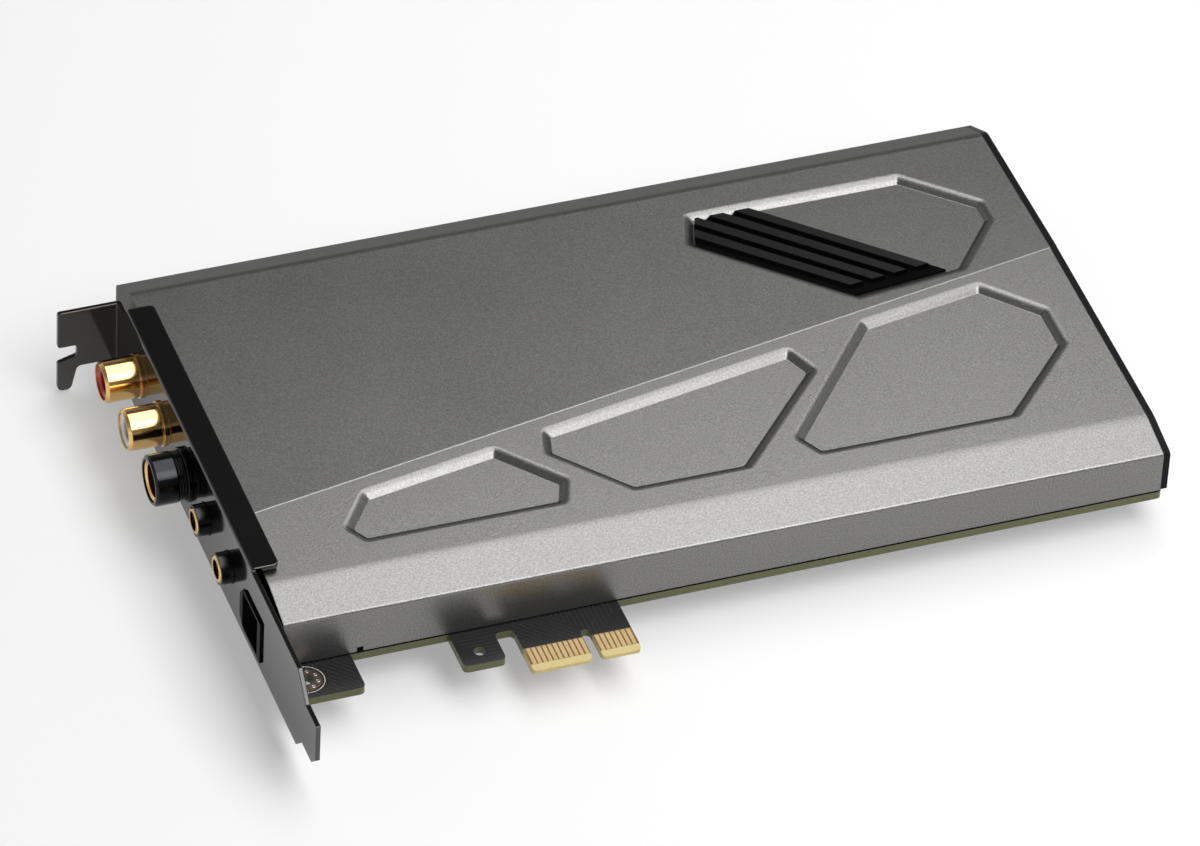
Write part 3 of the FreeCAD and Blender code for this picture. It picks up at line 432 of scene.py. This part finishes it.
def buildBoard(settings):
    material, tree, shader = newMaterial("boardLaminate", ior=settings["ior"])
    place = addNode(tree, "ShaderNodeTexCoord")
    split = addNode(tree, "ShaderNodeSeparateXYZ")
    link(tree, place.outputs["Object"], split.inputs[0])
    facing = addNode(tree, "ShaderNodeNewGeometry")
    normal = addNode(tree, "ShaderNodeSeparateXYZ")
    link(tree, facing.outputs["True Normal"], normal.inputs[0])
    flat = math2(tree, "GREATER_THAN", math2(tree, "ABSOLUTE", normal.outputs["Z"]), settings["flatLimit"])

    # copper under the mask: patches of straight runs in four directions, and round vias
    patches = addNode(tree, "ShaderNodeTexVoronoi", distance="CHEBYCHEV", voronoi_dimensions="2D")
    patches.inputs["Scale"].default_value = settings["patchScale"]
    link(tree, place.outputs["Object"], patches.inputs["Vector"])
    pick = addNode(tree, "ShaderNodeSeparateColor")
    link(tree, patches.outputs["Color"], pick.inputs[0])
    runs = None
    for index, (across, along) in enumerate(settings["runWays"]):
        line = math2(tree, "ADD", math2(tree, "MULTIPLY", split.outputs["X"], across),
                     math2(tree, "MULTIPLY", split.outputs["Y"], along))
        wave = math2(tree, "PINGPONG", math2(tree, "MULTIPLY", line, settings["runScale"]), 0.5)
        run = math2(tree, "LESS_THAN", wave, settings["runWidth"])
        step = settings["patchStep"]
        low = math2(tree, "GREATER_THAN", pick.outputs["Red"], index * step)
        high = math2(tree, "LESS_THAN", pick.outputs["Red"], index * step + step)
        run = math2(tree, "MULTIPLY", run, math2(tree, "MULTIPLY", low, high))
        runs = run if runs is None else math2(tree, "MAXIMUM", runs, run)
    holes = addNode(tree, "ShaderNodeTexVoronoi", voronoi_dimensions="2D")
    holes.inputs["Scale"].default_value = settings["viaScale"]
    link(tree, place.outputs["Object"], holes.inputs["Vector"])
    gate = addNode(tree, "ShaderNodeSeparateColor")
    link(tree, holes.outputs["Color"], gate.inputs[0])
    via = math2(tree, "MULTIPLY", math2(tree, "LESS_THAN", holes.outputs["Distance"], settings["viaSize"]),
                math2(tree, "LESS_THAN", gate.outputs["Green"], settings["viaShare"]))
    trace = math2(tree, "MAXIMUM", runs, via)
    grain = placeGroup(tree, grainGroup, Grain=settings["grain"], Mottle=settings["mottle"])
    mask = blendColours(tree, grain.outputs["Patch"], settings["maskColour"], settings["maskShade"])
    show = math2(tree, "MULTIPLY", trace, settings["copperShow"])
    copper = blendColours(tree, show, mask, settings["copperColour"])
    rim = blendColours(tree, grain.outputs["Height"], settings["edgeColour"], settings["edgeShade"])
    body = blendColours(tree, flat, rim, copper)

    low = math2(tree, "LESS_THAN", split.outputs["Y"], settings["bareTop"])
    right = math2(tree, "LESS_THAN", split.outputs["X"], settings["tongueRight"])
    left = math2(tree, "GREATER_THAN", split.outputs["X"], settings["tongueLeft"])
    bare = math2(tree, "MULTIPLY", math2(tree, "MULTIPLY", low, right), left)
    laminate = blendColours(tree, grain.outputs["Height"], settings["bareColour"], settings["bareShade"])
    gaps = blendColours(tree, grain.outputs["Height"], settings["gapColour"], settings["gapShade"])
    above = math2(tree, "GREATER_THAN", split.outputs["Y"], settings["bevelTop"])
    laminate = blendColours(tree, math2(tree, "MULTIPLY", above, flat), laminate, gaps)
    link(tree, blendColours(tree, bare, body, laminate), shader.inputs["Base Color"])
    rough = spread(tree, grain.outputs["Patch"], *settings["rough"])
    link(tree, rough, shader.inputs["Roughness"])
    height = math2(tree, "ADD", math2(tree, "MULTIPLY", trace, flat),
                   math2(tree, "MULTIPLY", grain.outputs["Height"], settings["grainRise"]))
    bumpFrom(tree, shader, height, settings["bump"], settings["bumpDepth"])
    return material


boardLaminate = buildBoard(boardSettings)
print("finishes ready")


# finishes on the frame's own nodes

finishes = {
    "bracket": blackNickel, "cover": blastedAluminium, "circuit_board": boardLaminate,
    "edge_contacts": contactGold, "headphone_nut": blackAnodised, "headphone_lock_ring": blackAnodised,
    "headphone_sleeve": goldPlate, "headphone_springs": goldPlate, "header_pins": goldPlate,
    "line_jack_rim": goldPlate, "microphone_jack_rim": goldPlate, "optical_emitter": emitterLens,
    "right_phono_insulator": redInsulator, "left_phono_insulator": whiteInsulator,
    "cover_screws": blackAnodised, "ribbed_insert": ribMoulding}
for name in nodes:
    if name.endswith(("phono_shell", "phono_contact")):
        finishes[name] = goldPlate
    elif name.startswith("capacitor"):
        finishes[name] = canMetal
    elif name.startswith("clock_oscillator"):
        finishes[name] = springSteel
    elif name.startswith("output_relay"):
        finishes[name] = relayCase
    elif name.startswith(("amplifier_socket", "front_panel", "power_connector", "optical_housing")):
        finishes[name] = blackMoulding
    elif name.endswith("jack_body"):
        finishes[name] = jackGloss
    elif name.endswith(("_body", "end_cap")):
        finishes[name] = blackMoulding
    elif name not in finishes:
        finishes[name] = chipEpoxy
for name, node in nodes.items():
    for slot in node.material_slots:
        slot.material = finishes[name]
print("frame nodes dressed")


# added pieces: all sit on the frame's own solids

boardLow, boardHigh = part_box("circuit_board")
boardTop, boardUnder = boardHigh.z, boardLow.z
solder = buildPlated("solderTin", {
    "colour": (0.62, 0.62, 0.63), "shade": (0.50, 0.50, 0.51), "rough": 0.26,
    "mottle": 700.0, "lines": 2500.0, "bump": 0.06, "edgeRadius": 0.05 * mm})
legendInk = buildMoulded("legendInk", {
    "colour": (0.72, 0.71, 0.70), "shade": (0.60, 0.59, 0.58), "edgeColour": (0.72, 0.71, 0.70),
    "rough": 0.60, "grain": 4000.0, "mottle": 900.0, "bump": 0.10, "edgeRadius": 0.02 * mm})
# the lighter edgeColour here is a painted edge highlight
ceramicBody = buildMoulded("ceramicBody", {
    "colour": (0.38, 0.25, 0.14), "shade": (0.32, 0.21, 0.12), "edgeColour": (0.42, 0.29, 0.17),
    "rough": 0.45, "grain": 4000.0, "mottle": 900.0, "bump": 0.10, "edgeRadius": 0.05 * mm})
earMetal = buildPlated("earMetal", {
    "colour": (0.17, 0.125, 0.095), "shade": (0.12, 0.088, 0.066), "rough": 0.34,
    "mottle": 900.0, "lines": 2500.0, "bump": 0.05, "edgeRadius": 0.05 * mm})

earSettings = {
    "place": (-52.19 * mm, 9.07 * mm), "hole": 1.32 * mm, "pad": 3.0 * mm, "ring": 3.4 * mm,
    "ringWidth": 0.14 * mm, "viaCount": 8, "viaCircle": 2.2 * mm, "via": 0.40 * mm, "viaHole": 0.17 * mm,
    "lift": 0.015 * mm, "padSteps": 48, "ringSteps": 64, "viaSteps": 16}


def buildEar(settings):
    x, y = settings["place"]
    lift = settings["lift"]
    levels = (boardTop + lift, boardUnder - lift)

    def pads(bm):
        for z in levels:
            flatRing(bm, (x, y, z), settings["hole"], settings["pad"], settings["padSteps"])

    def rings(bm):
        for z in levels:
            outer = settings["ring"] + settings["ringWidth"]
            flatRing(bm, (x, y, z), settings["ring"], outer, settings["ringSteps"])

    def vias(bm):
        for i in range(settings["viaCount"]):
            angle = 2 * math.pi * (i + 0.5) / settings["viaCount"]
            place = (x + settings["viaCircle"] * math.cos(angle),
                     y + settings["viaCircle"] * math.sin(angle))
            for z, way in ((levels[0], 1), (levels[1], -1)):
                profile = [(lift, settings["viaHole"]), (3 * lift, settings["viaHole"] * 1.3),
                           (3 * lift, settings["via"] * 0.8), (lift, settings["via"])]
                turn(bm, profile, (*place, z), (0, 0, way), settings["viaSteps"])

    addMesh("earPad", meshFrom("earPad", pads), earMetal)
    addMesh("earRing", meshFrom("earRing", rings), legendInk)
    addMesh("earVias", meshFrom("earVias", vias, smooth=40), solder)


buildEar(earSettings)
print("ear ring and vias added")

# pins that come through the board, as shares of each node's footprint
phonoPins = [(0.35, 0.12), (0.35, 0.88), (0.85, 0.5)]
miniPins = [(0.3, 0.1), (0.3, 0.9), (0.65, 0.1), (0.65, 0.9), (0.93, 0.5)]
pinPlan = {
    "right_phono_body": phonoPins, "left_phono_body": phonoPins,
    "headphone_body": [(u, v) for u in (0.2, 0.45, 0.7, 0.92) for v in (0.1, 0.9)],
    "line_jack_body": miniPins, "microphone_jack_body": miniPins,
    "power_connector": [(u, 0.2) for u in (0.1, 0.26, 0.42, 0.58, 0.74, 0.9)],
}
for index in (1, 2, 3, 4):
    pinPlan["amplifier_socket_%d" % index] = [
        (0.126 + 0.249 * i, v) for i in range(4) for v in (0.14, 0.86)]
for index in (1, 2):
    pinPlan["output_relay_%d" % index] = [(u, v) for u in (0.1, 0.5, 0.7, 0.9) for v in (0.12, 0.88)]
headerSettings = {"pin": 0.64 * mm, "columns": 5, "rowShift": 1.28 * mm, "missing": (3, 1)}
jointSettings = {"pad": 0.95 * mm, "pin": 0.34 * mm, "rise": 0.75 * mm, "tip": 1.25 * mm, "steps": 14}


def pinPlaces(header):
    places = []
    for name, shares in pinPlan.items():
        low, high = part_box(name)
        places += [(low.x + u * (high.x - low.x), low.y + v * (high.y - low.y)) for u, v in shares]
    low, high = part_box("header_pins")
    half = header["pin"] / 2
    pitch = (high.x - low.x - header["pin"]) / (header["columns"] - 1)
    for column in range(header["columns"]):
        for row in (0, 1):
            if (column, row) != header["missing"]:
                places.append((low.x + half + column * pitch,
                               low.y + half + header["rowShift"] * (1 - row)))
    return places


def buildJoints(settings):
    def build(bm):
        pad, pin, rise, tip = (settings[key] for key in ("pad", "pin", "rise", "tip"))
        profile = [(0.0, pad), (0.04 * mm, pad), (rise * 0.22, pad * 0.72), (rise * 0.55, pad * 0.5),
                   (rise, pin), (tip * 0.92, pin), (tip, pin * 0.6), (tip, 0.0)]
        for x, y in pinPlaces(headerSettings):
            turn(bm, profile, (x, y, boardUnder), (0, 0, -1), settings["steps"])

    addMesh("solderJoints", meshFrom("solderJoints", build, smooth=50), solder)


buildJoints(jointSettings)
print("solder joints added:", len(pinPlaces(headerSettings)))

# small parts on the back of the board, under the chips that they serve
smallPartSettings = {
    "length": 1.6 * mm, "width": 0.8 * mm, "tall": 0.5 * mm, "cap": 0.3 * mm, "chamfer": 0.05 * mm,
    "grow": 0.03 * mm, "pitch": 2.2 * mm, "margin": 1.1 * mm,
    "serves": ["audio_processor", "bus_interface_chip", "playback_converter", "capture_converter",
               "headphone_driver", "memory_chip", "clock_oscillator_1", "clock_oscillator_2",
               "regulator_1", "regulator_2"]}


def smallPartPlaces(settings):
    places = []
    for name in settings["serves"]:
        low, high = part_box(name)
        count = max(2, int((high.x - low.x) / settings["pitch"]))
        start = (low.x + high.x - (count - 1) * settings["pitch"]) / 2
        for i in range(count):
            x = start + i * settings["pitch"]
            places.append((x, low.y - settings["margin"], True))
            places.append((x, high.y + settings["margin"], True))
        middle = (low.y + high.y) / 2
        places.append((low.x - settings["margin"], middle, False))
        places.append((high.x + settings["margin"], middle, False))
    return places


def buildSmallParts(settings):
    places = smallPartPlaces(settings)
    half, wide = settings["length"] / 2, settings["width"] / 2

    def corners(x, y, upright, start, end):
        if upright:
            return (x - wide, y + start), (x + wide, y + end)
        return (x + start, y - wide), (x + end, y + wide)

    def bodies(kind):
        def build(bm):
            for index, (x, y, upright) in enumerate(places):
                if index % 3 == kind or (kind == 1 and index % 3 == 2):
                    low, high = corners(x, y, upright, -half + settings["cap"], half - settings["cap"])
                    block(bm, (*low, boardUnder - settings["tall"]), (*high, boardUnder),
                          settings["chamfer"])
        return build

    def caps(bm):
        for x, y, upright in places:
            for start, end in ((-half, -half + settings["cap"]), (half - settings["cap"], half)):
                low, high = corners(x, y, upright, start, end)
                grow = settings["grow"]
                block(bm, (low[0] - grow, low[1] - grow, boardUnder - settings["tall"] - grow),
                      (high[0] + grow, high[1] + grow, boardUnder), settings["chamfer"])

    addMesh("backResistors", meshFrom("backResistors", bodies(0)), chipEpoxy)
    addMesh("backCapacitors", meshFrom("backCapacitors", bodies(1)), ceramicBody)
    addMesh("backTerminals", meshFrom("backTerminals", caps), solder)
    return len(places)


print("small parts on the back:", buildSmallParts(smallPartSettings))

# thin legend outlines round the pins on the back
legendSettings = {"line": 0.15 * mm, "margin": 0.5 * mm, "lift": 0.01 * mm}


def buildLegend(settings):
    names = [name for name in pinPlan if not name.startswith("power")]

    def build(bm):
        z = boardUnder - settings["lift"]
        for name in names:
            low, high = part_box(name)
            x0, x1 = max(low.x, boardLow.x + mm) - settings["margin"], high.x + settings["margin"]
            y0, y1 = low.y - settings["margin"], high.y + settings["margin"]
            inner = [(x0, y0), (x1, y0), (x1, y1), (x0, y1)]
            line = settings["line"]
            outer = [(x0 - line, y0 - line), (x1 + line, y0 - line),
                     (x1 + line, y1 + line), (x0 - line, y1 + line)]
            near, far = ([bm.verts.new((x, y, z)) for x, y in ring] for ring in (inner, outer))
            for i in range(4):
                j = (i + 1) % 4
                bm.faces.new((near[i], far[i], far[j], near[j]))

    addMesh("backLegend", meshFrom("backLegend", build), legendInk)


buildLegend(legendSettings)
print("legend lines added")

# cross-recess screws in place of the plain ones
screwSettings = {
    "head": 2.4 * mm, "tall": 1.7 * mm, "shank": 1.15 * mm,
    "slotLength": 2.5 * mm, "slotWidth": 0.62 * mm, "slotDepth": 1.0 * mm,
    "slotChamfer": 0.08 * mm, "slotClear": 0.2 * mm, "spin": 20.0, "headSteps": 40, "shankSteps": 24}


def buildScrews(settings):
    head, tall = settings["head"], settings["tall"]

    def body(bm):
        profile = [(0.0, 0.0), (0.0, head * 0.98), (tall * 0.25, head), (tall * 0.6, head * 0.94),
                   (tall * 0.85, head * 0.76), (tall, head * 0.45), (tall, 0.0)]
        turn(bm, profile, (0, 0, 0), (0, 0, -1), settings["headSteps"])

    def recess(bm):
        low = -tall - settings["slotClear"]
        for across in (True, False):
            half, wide = settings["slotLength"] / 2, settings["slotWidth"] / 2
            size = (half, wide) if across else (wide, half)
            block(bm, (-size[0], -size[1], low), (size[0], size[1], -tall + settings["slotDepth"]),
                  settings["slotChamfer"])

    scene = bpy.context.scene
    made = [bpy.data.objects.new(name, meshFrom(name, build)) for name, build in
            (("screwBlank", body), ("screwRecess", recess))]
    for piece in made:
        scene.collection.objects.link(piece)
    cut = made[0].modifiers.new("recess", "BOOLEAN")
    cut.operation = "DIFFERENCE"
    cut.object = made[1]
    cut.use_self = True
    bpy.context.view_layer.update()
    graph = bpy.context.evaluated_depsgraph_get()
    one = bpy.data.meshes.new_from_object(made[0].evaluated_get(graph))
    for piece in made:
        bpy.data.objects.remove(piece)

    low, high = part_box("cover_screws")

    def build(bm):
        for x in (low.x + head, high.x - head):
            for y in (low.y + head, high.y - head):
                before = set(bm.verts)
                bm.from_mesh(one)
                # each head stands at its own angle
                spin = Matrix.Rotation(settings["spin"] * x / mm, 4, "Z")
                for vert in set(bm.verts) - before:
                    vert.co = spin @ vert.co + Vector((x, y, boardUnder))
                shank = [(0.0, settings["shank"]), (high.z - boardUnder, settings["shank"]),
                         (high.z - boardUnder, 0.0)]
                turn(bm, shank, (x, y, boardUnder), (0, 0, 1), settings["shankSteps"])

    mesh = meshFrom("crossScrews", build, smooth=35)
    screws = addMesh("crossScrews", mesh, blackAnodised)
    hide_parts("cover_screws")


buildScrews(screwSettings)
print("cross-recess screws added")

# threaded collar and washer behind the headphone nut
collarSettings = {"pitch": 0.5 * mm, "crest": 4.78 * mm, "root": 4.52 * mm, "washer": 5.2 * mm,
                  "washerThick": 0.9 * mm, "washerEdge": 0.12 * mm, "clearance": 0.06 * mm, "steps": 72}


def buildCollar(settings):
    low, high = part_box("headphone_lock_ring")
    sleeveLow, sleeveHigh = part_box("headphone_sleeve")
    y, z = (low.y + high.y) / 2, (low.z + high.z) / 2
    inner = (sleeveHigh.y - sleeveLow.y) / 2 + settings["clearance"]
    length = high.x - low.x
    thread = length - settings["washerThick"]

    def build(bm):
        profile = [(0.0, inner), (0.0, settings["root"])]
        turns = int(thread / settings["pitch"])
        step = thread / turns
        for i in range(turns):
            start = i * step
            profile += [(start + 0.15 * step, settings["root"]), (start + 0.4 * step, settings["crest"]),
                        (start + 0.6 * step, settings["crest"]), (start + 0.85 * step, settings["root"])]
        edge = settings["washerEdge"]
        washer = settings["washer"]
        profile += [(thread, settings["root"]), (thread, washer - edge), (thread + edge, washer),
                    (length - edge, washer), (length, washer - edge), (length, inner), (0.0, inner)]
        turn(bm, profile, (low.x, y, z), (1, 0, 0), settings["steps"])
        bmesh.ops.remove_doubles(bm, verts=bm.verts, dist=1e-7)

    mesh = meshFrom("threadedCollar", build, smooth=30)
    collar = addMesh("threadedCollar", mesh, blackAnodised)
    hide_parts("headphone_lock_ring")


buildCollar(collarSettings)

# contact strips on the power connector's tongue
stripSettings = {
    "count": 12, "pitch": 1.27 * mm, "width": 0.8 * mm, "thick": 0.06 * mm, "top": 3.45 * mm,
    "shift": 0.9 * mm, "innerGap": 1.4 * mm, "mouthGap": 1.6 * mm, "chamfer": 0.02 * mm}


def buildStrips(settings):
    low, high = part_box("power_connector")
    middle = (low.x + high.x) / 2
    level = boardTop + settings["top"]

    def build(bm):
        for i in range(settings["count"]):
            x = middle + (i - (settings["count"] - 1) / 2) * settings["pitch"] + settings["shift"]
            block(bm, (x - settings["width"] / 2, low.y + settings["innerGap"], level),
                  (x + settings["width"] / 2, high.y - settings["mouthGap"], level + settings["thick"]),
                  settings["chamfer"])

    addMesh("powerContacts", meshFrom("powerContacts", build), goldPlate)


buildStrips(stripSettings)
print("jack and connector details added")


# stage, light and camera

stageSettings = {
    "floorSize": 12.0, "floorGap": 0.4 * mm, "floorColour": (0.88, 0.88, 0.88), "floorRough": 0.9,
    "floorGlow": 0.34, "horizon": 0.50, "zenith": 0.09, "bandTop": 0.60, "leftGain": 2.4}


def buildFloor(settings):
    half = settings["floorSize"] / 2
    level = cadBox[0][2] - settings["floorGap"]
    corners = [(-half, -half), (half, -half), (half, half), (-half, half)]

    def build(bm):
        bm.faces.new([bm.verts.new((x, y, level)) for x, y in corners])

    floor = bpy.data.objects.new("floor", meshFrom("floor", build))
    bpy.context.scene.collection.objects.link(floor)
    material, tree, shader = newMaterial("floorPaper")
    shader.inputs["Base Color"].default_value = (*settings["floorColour"], 1.0)
    shader.inputs["Roughness"].default_value = settings["floorRough"]
    shader.inputs["Specular IOR Level"].default_value = 0.0
    rays = addNode(tree, "ShaderNodeLightPath")
    seen = math2(tree, "MAXIMUM", rays.outputs["Is Camera Ray"], rays.outputs["Is Glossy Ray"])
    seen = math2(tree, "MAXIMUM", seen, rays.outputs["Is Transmission Ray"])
    glow = addNode(tree, "ShaderNodeEmission")
    mix = addNode(tree, "ShaderNodeMixShader")
    link(tree, math2(tree, "MULTIPLY", seen, settings["floorGlow"]), mix.inputs[0])
    link(tree, shader.outputs[0], mix.inputs[1])
    link(tree, glow.outputs[0], mix.inputs[2])
    link(tree, mix.outputs[0], tree.nodes["Material Output"].inputs["Surface"])
    floor.data.materials.append(material)


def buildSky(settings):
    world = bpy.data.worlds.new("studioSky")
    world.use_nodes = True
    bpy.context.scene.world = world
    tree = world.node_tree
    place = addNode(tree, "ShaderNodeTexCoord")
    split = addNode(tree, "ShaderNodeSeparateXYZ")
    link(tree, place.outputs["Generated"], split.inputs[0])
    level = spread(tree, split.outputs["Z"], settings["horizon"], settings["zenith"],
                   stop=settings["bandTop"])
    # a little brighter beyond the bracket
    gain = spread(tree, split.outputs["X"], settings["leftGain"], 1.0, start=-1.0, stop=0.0)
    link(tree, math2(tree, "MULTIPLY", level, gain), tree.nodes["Background"].inputs["Color"])


lampSettings = [
    {"name": "overheadBox", "at": (0.215, -0.085, 0.65), "size": (0.48, 1.40), "power": 6.75},
    {"name": "frontPatch", "at": (0.26, -0.38, 0.64), "size": (0.36, 0.36), "power": 1.1},
    {"name": "rightFill", "at": (0.95, -0.02, 0.60), "size": (0.40, 0.60), "power": 0.45},
]


def buildLamp(settings):
    lamp = bpy.data.lights.new(settings["name"], "AREA")
    lamp.shape = "RECTANGLE"
    lamp.size, lamp.size_y = settings["size"]
    lamp.energy = settings["power"]
    holder = bpy.data.objects.new(settings["name"], lamp)
    bpy.context.scene.collection.objects.link(holder)
    middle = (Vector(cadBox[0]) + Vector(cadBox[1])) / 2
    away = Vector(settings["at"]).normalized()
    across = (Vector((1, 0, 0)) - away * away.x).normalized()
    turned = Matrix((across, away.cross(across), away)).transposed()
    holder.matrix_world = Matrix.Translation(middle + Vector(settings["at"])) @ turned.to_4x4()


cameraSettings = {
    "azimuth": -21.60, "elevation": 40.22, "roll": 3.30, "lens": 261.18,
    "aim": (0.30 * mm, 41.82 * mm), "distance": 1559.8 * mm, "raise": 0.8 * mm,
    "sensor": 36.0, "clip": (0.05, 50.0)}


def buildCamera(settings):
    a, e, r = (math.radians(settings[key]) for key in ("azimuth", "elevation", "roll"))
    right = Vector((math.cos(a), math.sin(a), 0.0))
    back = Vector((math.sin(a) * math.cos(e), -math.cos(a) * math.cos(e), math.sin(e)))
    up = back.cross(right)
    rolledRight = right * math.cos(r) + up * math.sin(r)
    rolledUp = up * math.cos(r) - right * math.sin(r)
    camera = bpy.data.objects.new("camera", bpy.data.cameras.new("camera"))
    bpy.context.scene.collection.objects.link(camera)
    camera.data.sensor_width = settings["sensor"]
    camera.data.lens = settings["lens"]
    across, along = settings["aim"]
    place = rolledRight * across + rolledUp * along + back * settings["distance"]
    place.z += settings["raise"]
    turned = Matrix((rolledRight, rolledUp, back)).transposed()
    camera.matrix_world = Matrix.Translation(place) @ turned.to_4x4()
    camera.data.clip_start, camera.data.clip_end = settings["clip"]
    bpy.context.scene.camera = camera


buildFloor(stageSettings)
buildSky(stageSettings)
for settings in lampSettings:
    buildLamp(settings)
buildCamera(cameraSettings)
bpy.context.scene.view_settings.view_transform = "Standard"
print("stage, light and camera ready")
